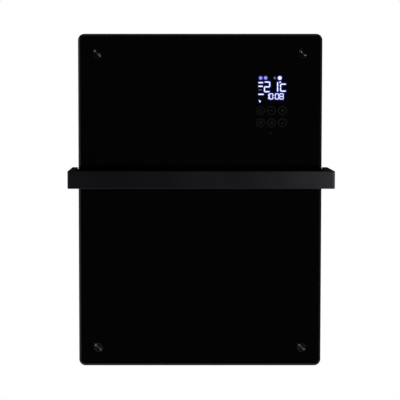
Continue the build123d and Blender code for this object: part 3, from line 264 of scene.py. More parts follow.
def stripe_group():
    """Even turns or stripes along one axis, as a height and a mask."""
    tree, into, out = new_group(
        "even_turns", {"Direction": (0.0, 0.0, 1.0), "Pitch": 0.001}, "Height", "Mask"
    )
    along = node(
        tree, "ShaderNodeVectorMath", {0: into["Vector"], 1: into["Direction"]}, operation="DOT_PRODUCT"
    )
    turns = maths(tree, "DIVIDE", along.outputs["Value"], into["Pitch"])
    wave = maths(tree, "ABSOLUTE", maths(tree, "SINE", maths(tree, "MULTIPLY", turns, math.pi)))
    return give(tree, out, Height=wave, Mask=maths(tree, "GREATER_THAN", wave, 0.8))


GROUP_MAKERS = {
    "grain": grain_group, "brushed": brushed_group, "turned": turned_group, "handling": handling_group,
    "spangle": spangle_group, "copper": copper_group, "stripe": stripe_group,
}
GROUPS = {}


def shared(name):
    """The shared effect of that name, built once."""
    if name not in GROUPS:
        GROUPS[name] = GROUP_MAKERS[name]()
    return GROUPS[name]


# ------------------------------------------------------------------ materials


class Finish:
    """One material under construction: its Principled shader, its object coordinates and its effects."""

    def __init__(self, name, base, roughness, metallic=0.0, **constants):
        self.material = bpy.data.materials.new(name)
        self.material.use_nodes = True
        self.tree = self.material.node_tree
        self.shader = self.tree.nodes["Principled BSDF"]
        self.base = (*base, 1.0)
        self.shader.inputs["Base Color"].default_value = self.base
        self.shader.inputs["Roughness"].default_value = roughness
        self.shader.inputs["Metallic"].default_value = metallic
        for key, value in constants.items():
            self.shader.inputs[key.replace("_", " ").title().replace("Ior", "IOR")].default_value = value
        self.place = self.tree.nodes.new("ShaderNodeTexCoord").outputs["Object"]

    def effect(self, name, **values):
        """The outputs of a shared effect over the object's own coordinates."""
        inputs = {key.replace("_", " "): value for key, value in values.items()}
        inputs["Vector"] = self.place
        return node(self.tree, "ShaderNodeGroup", inputs, node_tree=shared(name)).outputs

    def tint(self, mask, other, share=1.0):
        """Mixes another colour into the base where the mask is high."""
        base = self.shader.inputs["Base Color"]
        under = base.links[0].from_socket if base.links else self.base
        factor = maths(self.tree, "MULTIPLY", mask, share)
        feed(self.tree, mixed(self.tree, factor, under, (*other, 1.0)), base)

    def bump(self, height, strength, distance):
        """Raises the surface by a height, on top of any bump that it already has."""
        normal = self.shader.inputs["Normal"]
        inputs = {"Strength": strength, "Distance": distance, "Height": height}
        if normal.links:
            inputs["Normal"] = normal.links[0].from_socket
        feed(self.tree, node(self.tree, "ShaderNodeBump", inputs).outputs["Normal"], normal)

    def handled(self, low, high, scale=7.0):
        """Lets smudges vary the roughness between two values, and returns their mask."""
        marks = self.effect("handling", Scale=scale, Low=low, High=high)
        feed(self.tree, marks["Roughness"], self.shader.inputs["Roughness"])
        return marks["Mask"]


def shade(base, factor):
    """A colour made darker or lighter."""
    return tuple(c * factor for c in base)


def coated(
    name, base, roughness, grain, tinted, share, height, depth, patches=9.0, smudges=None, **constants
):
    """Paint, plastic, rubber or glass: fine grain, a second tone in patches and, on most, smudges."""
    finish = Finish(name, base, roughness, **constants)
    grained = finish.effect("grain", Scale=grain, Patches=patches)
    finish.tint(grained["Tone"], tinted, share)
    if smudges:
        finish.handled(*smudges)
    finish.bump(grained["Height"], height, depth)
    return finish.material


def powder_coat(name, base, low, high, grain=1100.0, depth=0.00006):
    """Baked powder coat: fine orange peel, slight patches and handling marks."""
    lighter = tuple(min(1.0, c * 1.35 + 0.002) for c in base)
    return coated(
        name, base, low, grain, lighter, 0.5, 0.35, depth, smudges=(low, high), specular_ior_level=0.45
    )


def moulded_plastic(name, base, low, high, grain=1600.0, depth=0.00004, **constants):
    """Moulded plastic or rubber with a fine spark-eroded grain."""
    return coated(
        name, base, low, grain, shade(base, 0.8), 0.35, 0.3, depth, 22.0, (low, high, 18.0), **constants
    )


def casing_coat():
    """Black powder coat of the casing."""
    return powder_coat("casing_powder_coat", colours().casing, 0.42, 0.52)


def washer_nylon():
    """Natural nylon, which lets a little light in."""
    return moulded_plastic("washer_nylon", (0.75, 0.76, 0.74), 0.3, 0.42, subsurface_weight=0.2)


def lead_sheath(name, base):
    """Silicone or PVC insulation of a lead, slightly mottled."""
    return coated(
        name, base, 0.45, 1200.0, shade(base, 0.7), 0.5, 0.2, 0.00003, 80.0, (0.4, 0.55, 60.0),
        specular_ior_level=0.4,
    )


def black_glass():
    """Toughened black glass: a clear polished surface over a black back print, with the faintest ripple."""
    glass = colours().glass
    return coated(
        "black_glass", glass, 0.03, 3.0, shade(glass, 1.5), 0.4, 0.04, 0.0002, 2.0, (0.02, 0.045, 4.0),
        ior=1.5, specular_ior_level=0.5,
    )


def foil_sleeve():
    """Shrunk black sleeve of the capacitor."""
    return coated(
        "foil_sleeve", (0.012, 0.012, 0.016), 0.25, 400.0, (0.03, 0.03, 0.04), 0.5, 0.15, 0.00005, 60.0,
        coat_weight=0.5,
    )


def foam_strip():
    """Closed-cell foam tape."""
    return coated(
        "foam_strip", (0.012, 0.012, 0.012), 0.85, 1500.0, (0.03, 0.03, 0.03), 0.5, 0.8, 0.0002, 500.0,
        sheen_weight=0.2,
    )


def rocker_plastic():
    """Glossy black of the rocker, rubbed at its middle."""
    return coated(
        "rocker_plastic", (0.012, 0.012, 0.013), 0.22, 1500.0, (0.024, 0.024, 0.026), 0.5, 0.12, 0.00003,
        smudges=(0.18, 0.32, 80.0), coat_weight=0.2,
    )


def striped(name, base, roughness, direction, pitch, marked, share, height, depth, **constants):
    """Even turns, cores or cells, raised and in a second colour."""
    finish = Finish(name, base, roughness, **constants)
    rows = finish.effect("stripe", Direction=direction, Pitch=pitch)
    finish.tint(rows["Mask"], marked, share)
    finish.bump(rows["Height"], height, depth)
    return finish.material


def enamelled_winding():
    """Yellow tape over the transformer's winding, with its turns showing through."""
    return striped(
        "enamelled_winding", (0.62, 0.42, 0.05), 0.35, ALONG_Y, 0.0016, (0.72, 0.53, 0.12), 0.7, 0.4, 0.0002,
        coat_weight=0.3,
    )


def display_block():
    """Dark front of the display block, with a faint grid of its unlit cells."""
    return striped(
        "display_block", (0.01, 0.01, 0.02), 0.2, ALONG_X, 0.0045, (0.02, 0.022, 0.05), 0.8, 0.1, 0.00005,
        coat_weight=0.4,
    )


def ribbed_ribbon():
    """Grey ribbon cable with its parallel cores."""
    return striped(
        "ribbed_ribbon", (0.5, 0.5, 0.5), 0.45, ALONG_X, 0.00127, (0.36, 0.36, 0.37), 0.7, 0.6, 0.0002
    )


def drawn_metal(name, base, low, high, stretch, depth=0.00003):
    """Rolled, drawn or extruded metal with lines along one axis."""
    finish = Finish(name, base, low, metallic=1.0)
    lines = finish.effect("brushed", Stretch=stretch)
    finish.tint(lines["Tone"], shade(base, 0.72), 0.55)
    finish.handled(low, high, 12.0)
    finish.bump(lines["Height"], 0.25, depth)
    return finish.material


def rail_anodised():
    """Satin black anodising over extruded aluminium, with draw lines along the bar."""
    finish = Finish("rail_anodised", colours().rail, 0.4, metallic=0.35, specular_ior_level=0.5)
    lines = finish.effect("brushed", Stretch=(5.0, 1500.0, 1500.0))
    finish.tint(lines["Tone"], shade(colours().rail, 1.3), 0.5)
    finish.handled(0.36, 0.44, 9.0)
    finish.bump(finish.effect("grain", Scale=2600.0)["Height"], 0.25, 0.00003)
    finish.bump(lines["Height"], 0.12, 0.00003)
    return finish.material


def turned_chrome():
    """Dark chromed screw caps, turned on a lathe."""
    finish = Finish("turned_chrome", (0.035, 0.035, 0.037), 0.16, metallic=1.0)
    middle = (CAP_LOW + CAP_HIGH) / 2
    rings = finish.effect(
        "turned", Half_Width=CAP_HIGH.x - CAP_RADIUS, Half_Height=CAP_HIGH.z - CAP_RADIUS - middle.z,
        Middle=middle.z, Pitch=sizes().ring_pitch,
    )
    finish.bump(rings["Height"], 1.0, 0.000027)
    finish.tint(finish.handled(0.13, 0.19, 60.0), (0.024, 0.024, 0.026), 0.5)
    return finish.material


def zinc_plate():
    """Zinc coated steel sheet with its faint crystal pattern."""
    finish = Finish("zinc_plate", (0.55, 0.57, 0.6), 0.36, metallic=1.0)
    finish.tint(finish.effect("spangle", Scale=150.0)["Tone"], (0.38, 0.4, 0.43), 0.6)
    finish.handled(0.3, 0.46, 20.0)
    finish.bump(finish.effect("brushed", Stretch=(8.0, 500.0, 500.0))["Height"], 0.2, 0.00003)
    return finish.material


def printed_board():
    """Green solder lacquer over copper runs and glass weave."""
    finish = Finish("printed_board", (0.014, 0.11, 0.045), 0.3, coat_weight=0.4)
    copper = finish.effect("copper", Scale=70.0)["Mask"]
    finish.tint(copper, (0.05, 0.24, 0.09), 0.85)
    finish.bump(finish.effect("stripe", Direction=ALONG_X, Pitch=0.0006)["Height"], 0.08, 0.00002)
    finish.bump(copper, 0.3, 0.00004)
    return finish.material


def glazed_ceramic():
    """Pressed ceramic with a thin glaze and small dark specks."""
    finish = Finish("glazed_ceramic", (0.78, 0.75, 0.68), 0.28, coat_weight=0.35)
    grained = finish.effect("grain", Scale=700.0, Patches=300.0)
    specks = maths(finish.tree, "GREATER_THAN", grained["Tone"], 0.66)
    finish.tint(specks, (0.4, 0.36, 0.3), 0.6)
    finish.bump(grained["Height"], 0.2, 0.00006)
    return finish.material


def cast_element():
    """Extruded aluminium of the element, dulled by heat."""
    finish = Finish("cast_element", (0.58, 0.58, 0.57), 0.45, metallic=1.0)
    lines = finish.effect("brushed", Stretch=(7.0, 600.0, 600.0))
    finish.tint(lines["Tone"], (0.42, 0.41, 0.4), 0.6)
    finish.tint(finish.handled(0.38, 0.58, 25.0), (0.36, 0.31, 0.25), 0.35)
    finish.bump(lines["Height"], 0.3, 0.00006)
    return finish.material


def heated_sheath():
    """Steel sheath of the rod, with heat colours."""
    finish = Finish("heated_sheath", (0.3, 0.28, 0.26), 0.35, metallic=1.0)
    finish.tint(finish.handled(0.28, 0.45, 40.0), (0.36, 0.22, 0.14), 0.6)
    finish.bump(finish.effect("grain", Scale=900.0)["Height"], 0.2, 0.00004)
    return finish.material


def earth_sheath():
    """Green insulation with a yellow stripe, set out by diagonal bands."""
    finish = Finish("earth_sheath", (0.02, 0.26, 0.05), 0.45)
    bands = finish.effect("stripe", Direction=(0.7, 0.2, 0.7), Pitch=0.004)
    finish.tint(bands["Mask"], (0.75, 0.62, 0.03))
    finish.bump(finish.effect("grain", Scale=1200.0)["Height"], 0.2, 0.00003)
    return finish.material


def plated_brass():
    """Tinned brass of the tabs."""
    finish = Finish("plated_brass", (0.72, 0.58, 0.3), 0.3, metallic=1.0)
    lines = finish.effect("brushed", Stretch=(300.0, 300.0, 20.0))
    finish.tint(lines["Tone"], (0.55, 0.45, 0.28), 0.6)
    finish.bump(lines["Height"], 0.2, 0.00003)
    return finish.material


def recess_shadow():
    """Painted shade: a dark colour laid where the hollow of a cross recess would be in shade."""
    finish = Finish("recess_shadow", (0.01, 0.01, 0.01), 0.6, metallic=0.5)
    finish.tint(finish.effect("grain", Scale=2000.0)["Tone"], (0.03, 0.03, 0.03), 0.6)
    return finish.material


def lit(name, colour, strength):
    """A mark that gives light, slightly uneven along its length."""
    finish = Finish(name, shade(colour, 0.3), 0.4)
    uneven = finish.effect("grain", Scale=300.0, Patches=180.0)
    glow = mixed(finish.tree, uneven["Tone"], (*colour, 1.0), (*shade(colour, 0.8), 1.0))
    feed(finish.tree, glow, finish.shader.inputs["Emission Color"])
    finish.shader.inputs["Emission Strength"].default_value = strength
    return finish.material


# The maker of each material slot's finish, with its arguments
FINISHES = {
    "black_glass": (black_glass,),
    "rail_black": (rail_anodised,),
    "turned_metal": (turned_chrome,),
    "casing_black": (casing_coat,),
    "grille_black": (moulded_plastic, "grille_plastic", (0.014, 0.014, 0.015), 0.4, 0.5),
    "zinc_steel": (zinc_plate,),
    "bright_steel": (drawn_metal, "bright_fasteners", (0.68, 0.68, 0.7), 0.2, 0.34, (900.0, 40.0, 900.0)),
    "black_steel": (powder_coat, "black_screws", (0.02, 0.02, 0.021), 0.3, 0.42, 2200.0, 0.00003),
    "shield_aluminium": (
        drawn_metal, "shield_sheet", (0.78, 0.78, 0.79), 0.2, 0.34, (4.0, 500.0, 900.0), 0.00005
    ),
    "cast_aluminium": (cast_element,),
    "sheath_steel": (heated_sheath,),
    "ceramic": (glazed_ceramic,),
    "spacer_nylon": (moulded_plastic, "spacer_nylon", (0.03, 0.03, 0.032), 0.45, 0.55),
    "clear_nylon": (washer_nylon,),
    "black_rubber": (moulded_plastic, "bumper_rubber", (0.02, 0.02, 0.02), 0.65, 0.8, 900.0, 0.00009),
    "board_green": (printed_board,),
    "relay_black": (moulded_plastic, "relay_case", (0.016, 0.017, 0.02), 0.3, 0.42),
    "rocker_black": (rocker_plastic,),
    "winding_yellow": (enamelled_winding,),
    "sleeve_black": (foil_sleeve,),
    "terminal_white": (moulded_plastic, "terminal_nylon", (0.72, 0.72, 0.68), 0.4, 0.5),
    "housing_grey": (moulded_plastic, "housing_plastic", (0.08, 0.08, 0.085), 0.4, 0.52),
    "foam_black": (foam_strip,),
    "display_face": (display_block,),
    "tab_brass": (plated_brass,),
    "gland_black": (moulded_plastic, "gland_nylon", (0.016, 0.016, 0.017), 0.38, 0.5),
    "ribbon_grey": (ribbed_ribbon,),
    "lead_brown": (lead_sheath, "lead_brown", (0.16, 0.06, 0.03)),
    "lead_blue": (lead_sheath, "lead_blue", (0.03, 0.1, 0.42)),
    "lead_earth": (earth_sheath,),
    "lead_white": (lead_sheath, "lead_white", (0.7, 0.7, 0.68)),
}
MADE = {}


def finish_of(slot):
    """The finish of a material slot, built once."""
    if slot not in MADE:
        maker, *values = FINISHES[slot]
        MADE[slot] = maker(*values)
    return MADE[slot]


def dress(*slots):
    """Gives the nodes of these material slots their finish."""
    for part in frame["record"]["subparts"]:
        if part["material_slot"] in slots:
            for place in nodes[part["node"]].material_slots:
                place.material = finish_of(part["material_slot"])


# --------------------------------------------------------------- mesh helpers


def plain_object(name, mesh, material, body):
    """Links a finished mesh as one piece, riding on a body."""
    mesh.materials.clear()
    mesh.materials.append(material)
    made = bpy.data.objects.new(name, mesh)
    bpy.context.scene.collection.objects.link(made)
    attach(made, body)


def outline_mesh(name, outlines, back, front):
    """Closed prisms between two depths from flat outlines, each a list of (x, z) points."""
    shape = bmesh.new()
    for outline in outlines:
        face = shape.faces.new([shape.verts.new((x, front, z)) for x, z in outline])
        walls = bmesh.ops.extrude_face_region(shape, geom=[face])["geom"]
        bmesh.ops.translate(
            shape, vec=(0, back - front, 0), verts=[v for v in walls if isinstance(v, bmesh.types.BMVert)]
        )
    bmesh.ops.recalc_face_normals(shape, faces=shape.faces)
    mesh = bpy.data.meshes.new(name)
    shape.to_mesh(mesh)
    shape.free()
    return mesh


def mark(name, outlines, back, front, material):
    """Flat marks on the glass, as one piece of the heater."""
    plain_object(name, outline_mesh(name, outlines, back, front), material, "heater")


def band(start, end, width, taper=0.5):
    """Outline of one straight stroke between two points, with pointed ends."""
    a, b = Vector(start), Vector(end)
    along = (b - a).normalized()
    side = Vector((-along.y, along.x)) * width / 2
    cut = along * width / 2 * taper
    return [tuple(p) for p in (a, a + cut + side, b - cut + side, b, b - cut - side, a + cut - side)]


def around(centre, radius, angle):
    return centre[0] + radius * math.cos(angle), centre[1] + radius * math.sin(angle)


def disc(centre, radius, steps=20):
    """Round outline."""
    return [around(centre, radius, 2 * math.pi * k / steps) for k in range(steps)]


def arc_bands(centre, radius, width, start, turn, steps):
    """Outlines of short blocks that make one curved line."""
    made = []
    inner, outer = radius - width / 2, radius + width / 2
    for k in range(steps):
        a, b = (math.radians(start + turn * i / steps) for i in (k, k + 1))
        made.append([around(centre, r, t) for r, t in ((outer, a), (outer, b), (inner, b), (inner, a))])
    return made


def grown(outline, by):
    """The outline moved outwards by a distance."""
    centre = Vector([sum(point[axis] for point in outline) / len(outline) for axis in (0, 1)])
    result = []
    for point in outline:
        away = Vector(point) - centre
        result.append(tuple(centre + away + Vector((math.copysign(by, away.x), math.copysign(by, away.y)))))
    return result


SEGMENTS = {"0": "abcdef", "1": "bc", "2": "abged", "8": "abcdefg", "C": "afed"}


def digit(symbol, low, high, width):
    """Outlines of one seven-segment figure inside a box given by two corners."""
    left, right = low[0] + width / 2, high[0] - width / 2
    foot, top = low[1] + width / 2, high[1] - width / 2
    middle, gap = (foot + top) / 2, width * 0.12
    lines = {
        "a": ((left + gap, top), (right - gap, top)), "g": ((left + gap, middle), (right - gap, middle)),
        "d": ((left + gap, foot), (right - gap, foot)), "f": ((left, top - gap), (left, middle + gap)),
        "e": ((left, middle - gap), (left, foot + gap)), "b": ((right, top - gap), (right, middle + gap)),
        "c": ((right, middle - gap), (right, foot + gap)),
    }
    return [band(*lines[key], width) for key in SEGMENTS[symbol]]


# ------------------------------------------- places read from the photograph

# The photograph's scale at the glass, and its point that lies at the panel's middle
PIXEL = 0.0020644
PHOTO_X, PHOTO_Y = 200.0, 200.1


def at(column, row):
    """Place on the glass of a point of the photograph."""
    return (column - PHOTO_X) * PIXEL, PANEL_MIDDLE - (row - PHOTO_Y) * PIXEL


# Figures, each with the left, top, right and bottom of its box
CLOCK_TOP, CLOCK_FOOT = 93.0, 98.9
TEMPERATURE = (
    ("2", 263.3, 81.2, 269.5, 91.8), ("1", 272.0, 81.2, 277.4, 91.8), ("C", 279.3, 83.3, 285.7, 91.2)
)
CLOCK = tuple(
    (symbol, left, CLOCK_TOP, right, CLOCK_FOOT)
    for symbol, left, right in (
        ("1", 266.2, 268.3), ("0", 268.6, 272.5), ("0", 274.4, 278.2), ("8", 278.7, 282.8)
    )
)
CLOCK_DOT_COLUMN, CLOCK_DOT_ROWS, CLOCK_DOT_RADIUS = 273.45, (94.9, 97.1), 0.0007

# Round icons, each with its column and row and its radius in metres
BRIGHT_ICONS = ((279.3, 81.9, 0.0016), (279.0, 77.7, 0.0037))
MEDIUM_ICONS = ((260.0, 77.7, 0.0031), (264.9, 77.6, 0.0031))
FAINT_ICON = (274.0, 77.7, 0.0026)

# Bars at the display's left, each with its row, its length in pixels and its width in metres
BAR_START = 257.8
BRIGHT_BARS = ((82.3, 4.6, 0.0023), (85.9, 4.2, 0.0023), (93.9, 5.2, 0.0023))
FAINT_BAR = (89.5, 3.6, 0.0018)
POINTER = ((258.2, 99.4), (260.4, 100.7), (259.2, 102.2))

KEY_COLUMNS, KEY_ROWS = (259.9, 270.9, 281.9), (110.05, 122.3)
GUIDE_DOT = (270.0, 132.5)

# Strokes and arcs of the keys' signs, in half widths of a sign; an arc has its start and turn in degrees
SIGN_STROKES = {
    "power": (((0, 0), (0, 1.2)),),
    "minus": (((-1, 0), (1, 0)),),
    "plus": (((-1, 0), (1, 0)), ((0, -1), (0, 1))),
    "clock": (((0, 0), (0, 0.8)), ((0, 0), (0.6, 0))),
    "bars": (((-1, -0.7), (1, -0.7)), ((-1, 0), (1, 0)), ((-1, 0.7), (1, 0.7))),
    "tick": (((-1, 0), (-0.2, -0.7)), ((-0.2, -0.7), (1, 0.7))),
}
SIGN_ARCS = {"power": (130, 280), "clock": (0, 360)}
BOLD_SIGNS = ("minus", "plus")


def icon(column, row, radius):
    return disc(at(column, row), radius)


def bar(row, length, width):
    return band(at(BAR_START, row), at(BAR_START + length, row), width, 0.25)


def figures(row, width):
    """Outlines of a row of figures."""
    made = []
    for symbol, left, top, right, bottom in row:
        made += digit(symbol, at(left, bottom), at(right, top), width)
    return made


# ------------------------------------------------------------ geometry nodes


def repeat_tree(name, build_piece, values):
    """A tree that puts one small piece on every vertex, with a random size from a fixed seed."""
    tree = bpy.data.node_groups.new(name, "GeometryNodeTree")
    tree.interface.new_socket("Geometry", in_out="INPUT", socket_type="NodeSocketGeometry")
    add_inputs(tree, values)
    tree.interface.new_socket("Geometry", in_out="OUTPUT", socket_type="NodeSocketGeometry")
    into, out = tree.nodes.new("NodeGroupInput").outputs, tree.nodes.new("NodeGroupOutput").inputs
    least, most = 2, 3
    points = node(tree, "GeometryNodeMeshToPoints", {"Mesh": into["Geometry"]})
    size = node(
        tree, "FunctionNodeRandomValue", {least: into["Least Size"], most: 1.0, "Seed": into["Seed"]},
        data_type="FLOAT",
    )
    copies = node(tree, "GeometryNodeInstanceOnPoints", {
        "Points": points.outputs[0], "Instance": build_piece(tree, into), "Scale": size.outputs[1],
    })
    real = node(tree, "GeometryNodeRealizeInstances", {0: copies.outputs[0]})
    coat = node(tree, "GeometryNodeSetMaterial", {"Geometry": real.outputs[0], "Material": into["Material"]})
    tree.links.new(coat.outputs[0], out[0])
    return tree


def joined(tree, *pieces):
    """Several pieces as one."""
    both = tree.nodes.new("GeometryNodeJoinGeometry")
    for piece in pieces:
        tree.links.new(piece, both.inputs[0])
    return both.outputs[0]


def block(tree, *lengths):
    """A block whose three sizes come from sockets."""
    size = node(tree, "ShaderNodeCombineXYZ", dict(enumerate(lengths)))
    return node(tree, "GeometryNodeMeshCube", {"Size": size.outputs[0]}).outputs["Mesh"]


def cross_piece(tree, into):
    """Cross of painted recess shade: two crossed bars."""
    length, width, depth = (into[key] for key in ("Length", "Width", "Depth"))
    return joined(tree, block(tree, length, depth, width), block(tree, width, depth, length))


def dome_piece(tree, into):
    """Solder joint: a low dome with its lead standing out of it."""
    ball = node(tree, "GeometryNodeMeshUVSphere", {"Segments": 12, "Rings": 6, "Radius": into["Radius"]})
    flat = node(tree, "GeometryNodeTransform", {"Geometry": ball.outputs["Mesh"], "Scale": (1.0, 0.6, 1.0)})
    pin = node(tree, "GeometryNodeMeshCylinder", {
        "Vertices": 8, "Radius": maths(tree, "MULTIPLY", into["Radius"], 0.35),
        "Depth": maths(tree, "MULTIPLY", into["Radius"], 2.2),
    })
    turned = node(tree, "GeometryNodeTransform", {
        "Geometry": pin.outputs["Mesh"], "Rotation": (math.pi / 2, 0, 0),
    })
    return joined(tree, flat.outputs[0], turned.outputs[0])


def chip_piece(tree, into):
    """Small surface component: a body between two end caps, in shares of its length."""
    body, ends = (
        block(tree, *(maths(tree, "MULTIPLY", into["Length"], share) for share in shares))
        for shares in ((0.62, 0.36, 0.5), (1.0, 0.3, 0.46))
    )
    return joined(tree, body, ends)


def repeated(name, places, tree_name, build_piece, values, body):
    """Repeats a piece on points and keeps the result as one plain mesh on a body."""
    tree = repeat_tree(tree_name, build_piece, values)
    dots = bpy.data.meshes.new(name + "_dots")
    dots.from_pydata([tuple(place) for place in places], [], [])
    source = bpy.data.objects.new(name + "_dots", dots)
    bpy.context.scene.collection.objects.link(source)
    modifier = source.modifiers.new("repeat", "NODES")
    modifier.node_group = tree
    for socket in tree.interface.items_tree:
        if socket.in_out == "INPUT" and socket.name in values:
            modifier[socket.identifier] = values[socket.name]
    bpy.context.view_layer.update()
    ready = source.evaluated_get(bpy.context.evaluated_depsgraph_get())
    mesh = bpy.data.meshes.new_from_object(ready)
    mesh.name = name
    source.modifiers.remove(modifier)
    bpy.data.objects.remove(source)
    bpy.data.meshes.remove(dots)
    plain_object(name, mesh, values["Material"], body)


def solids_of(name):
    """Lowest and highest corner of each separate solid in a node."""
    shape = bmesh.new()
    shape.from_mesh(nodes[name].data)
    bmesh.ops.remove_doubles(shape, verts=shape.verts, dist=1e-6)
    left, found = set(shape.verts), []
    while left:
        reached = [left.pop()]
        low, high = reached[0].co.copy(), reached[0].co.copy()
        while reached:
            vertex = reached.pop()
            for axis in range(3):
                low[axis], high[axis] = min(low[axis], vertex.co[axis]), max(high[axis], vertex.co[axis])
            for edge in vertex.link_edges:
                other = edge.other_vert(vertex)
                if other in left:
                    left.remove(other)
                    reached.append(other)
        found.append((low, high))
    shape.free()
    return found


# ------------------------------------------------------------------ operators


class HeaterOperator:
    bl_options = {"REGISTER", "UNDO"}


class DressOperator(HeaterOperator):
    """Gives the nodes of some material slots their finish"""

    slots = ()

    def execute(self, context):
        dress(*self.slots)
        return {"FINISHED"}


class HEATER_OT_glass_front(DressOperator, bpy.types.Operator):
    """Finishes the glass panel, the turned caps of its screws, its washers and spacers"""

    bl_idname = "heater.glass_front"
    bl_label = "Glass and caps"
    slots = ("black_glass", "turned_metal", "clear_nylon", "spacer_nylon")


class HEATER_OT_towel_rail(DressOperator, bpy.types.Operator):
    """Finishes the towel rail and the black screws"""

    bl_idname = "heater.towel_rail"
    bl_label = "Towel rail"
    slots = ("rail_black", "black_steel")


class HEATER_OT_casing(DressOperator, bpy.types.Operator):
    """Finishes the casing, the grille, the bracket and what shows on the outside"""

    bl_idname = "heater.casing"
    bl_label = "Casing and bracket"
    slots = ("casing_black", "grille_black", "zinc_steel", "bright_steel", "black_rubber", "gland_black",
             "rocker_black", "relay_black")


class HEATER_OT_inner_parts(DressOperator, bpy.types.Operator):
    """Finishes the element, the boards and the leads inside the casing"""

    bl_idname = "heater.inner_parts"
    bl_label = "Inner parts"
    slots = ("shield_aluminium", "cast_aluminium", "sheath_steel", "ceramic", "board_green", "winding_yellow",
             "sleeve_black", "terminal_white", "housing_grey", "foam_black", "display_face", "tab_brass",
             "ribbon_grey", "lead_brown", "lead_blue", "lead_earth", "lead_white")


class HEATER_OT_display_marks(HeaterOperator, bpy.types.Operator):
    """Lights the temperature, the clock, the bars and the round icons on the glass"""

    bl_idname = "heater.display_marks"
    bl_label = "Display marks"

    def execute(self, context):
        temperature_line, clock_line = 0.0021, 0.00135
        bright = figures(TEMPERATURE, temperature_line) + figures(CLOCK, clock_line)
        bright += [icon(*place) for place in BRIGHT_ICONS]
        bright += [bar(*place) for place in BRIGHT_BARS]
        bright.append([at(*point) for point in POINTER])
        bright += [disc(at(CLOCK_DOT_COLUMN, row), CLOCK_DOT_RADIUS, 10) for row in CLOCK_DOT_ROWS]
        medium = [icon(*place) for place in MEDIUM_ICONS]
        faint = [icon(*FAINT_ICON), bar(*FAINT_BAR)]

        halo_start, halo_gap, marks_start = 0.000004, 0.000006, 0.00002
        back = GLASS_FRONT - marks_start
        front = back - sizes().mark_thickness
        for name, outlines, material in (
            ("display_figures", bright, lit("display_light", colours().light, 1.5)),
            ("display_icons", medium, lit("icon_light", (0.36, 0.36, 0.95), 0.9)),
            ("display_faint", faint, lit("faint_light", (0.2, 0.2, 0.6), 0.35)),
        ):
            mark(name, outlines, back, front, material)
        halo = [grown(outline, sizes().glow_width) for outline in bright + medium]
        mark("display_halo", halo, GLASS_FRONT - halo_start, back + halo_gap,
             lit("halo_light", colours().halo, 0.5))
        return {"FINISHED"}


class HEATER_OT_touch_keys(HeaterOperator, bpy.types.Operator):
    """Prints the six faint rings of the touch keys, their signs and the guide dot"""

    bl_idname = "heater.touch_keys"
    bl_label = "Touch keys"

    def execute(self, context):
        line, radius = sizes().key_line, sizes().key_radius
        half, bold, taper = radius * 0.42, line * 1.3, 0.2
        centres = [at(column, row) for row in KEY_ROWS for column in KEY_COLUMNS]
        marks = []
        for centre in centres:
            marks += arc_bands(centre, radius, line, 0, 360, 40)
        for (x, z), (sign, strokes) in zip(centres, SIGN_STROKES.items()):
            if sign in SIGN_ARCS:
                marks += arc_bands((x, z), half, line, *SIGN_ARCS[sign], 20)
            width = bold if sign in BOLD_SIGNS else line
            for stroke in strokes:
                start, end = ((x + half * across, z + half * up) for across, up in stroke)
                marks.append(band(start, end, width, taper))
        guide_radius, marks_start = 0.0013, 0.00001
        marks.append(disc(at(*GUIDE_DOT), guide_radius, 14))
        back = GLASS_FRONT - marks_start
        mark("touch_keys", marks, back, back - sizes().mark_thickness / 2,
             lit("key_print", (0.012, 0.012, 0.015), 0.03))
        return {"FINISHED"}


class HEATER_OT_recess_shade_crosses(HeaterOperator, bpy.types.Operator):
    """Lays a thin dark cross on the heads of the small screws, painted shade of their cross recesses"""

    bl_idname = "heater.screw_recesses"
    bl_label = "Screw recesses"

    def execute(self, context):
        places = []
        for name, outward in (("casing_screws", -1), ("display_screws", -1), ("bracket_screws", 1)):
            for low, high in solids_of(name):
                middle = (low + high) / 2
                middle.y = high.y if outward > 0 else low.y
                places.append(middle)
        low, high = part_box("earth_screw")
        places.append(((low.x + high.x) / 2, high.y, (low.z + high.z) / 2))
        # The dark crosses are painted shade: flat dark bars where each cross recess's hollow would be shaded.
        length = sizes().recess_length
        repeated("screw_recesses", places, "recess_shade_cross", cross_piece, {
            "Length": length, "Width": length / 4, "Depth": 0.0001,
            "Least Size": 1.0, "Seed": 7, "Material": recess_shadow(),
        }, "heater")
        return {"FINISHED"}


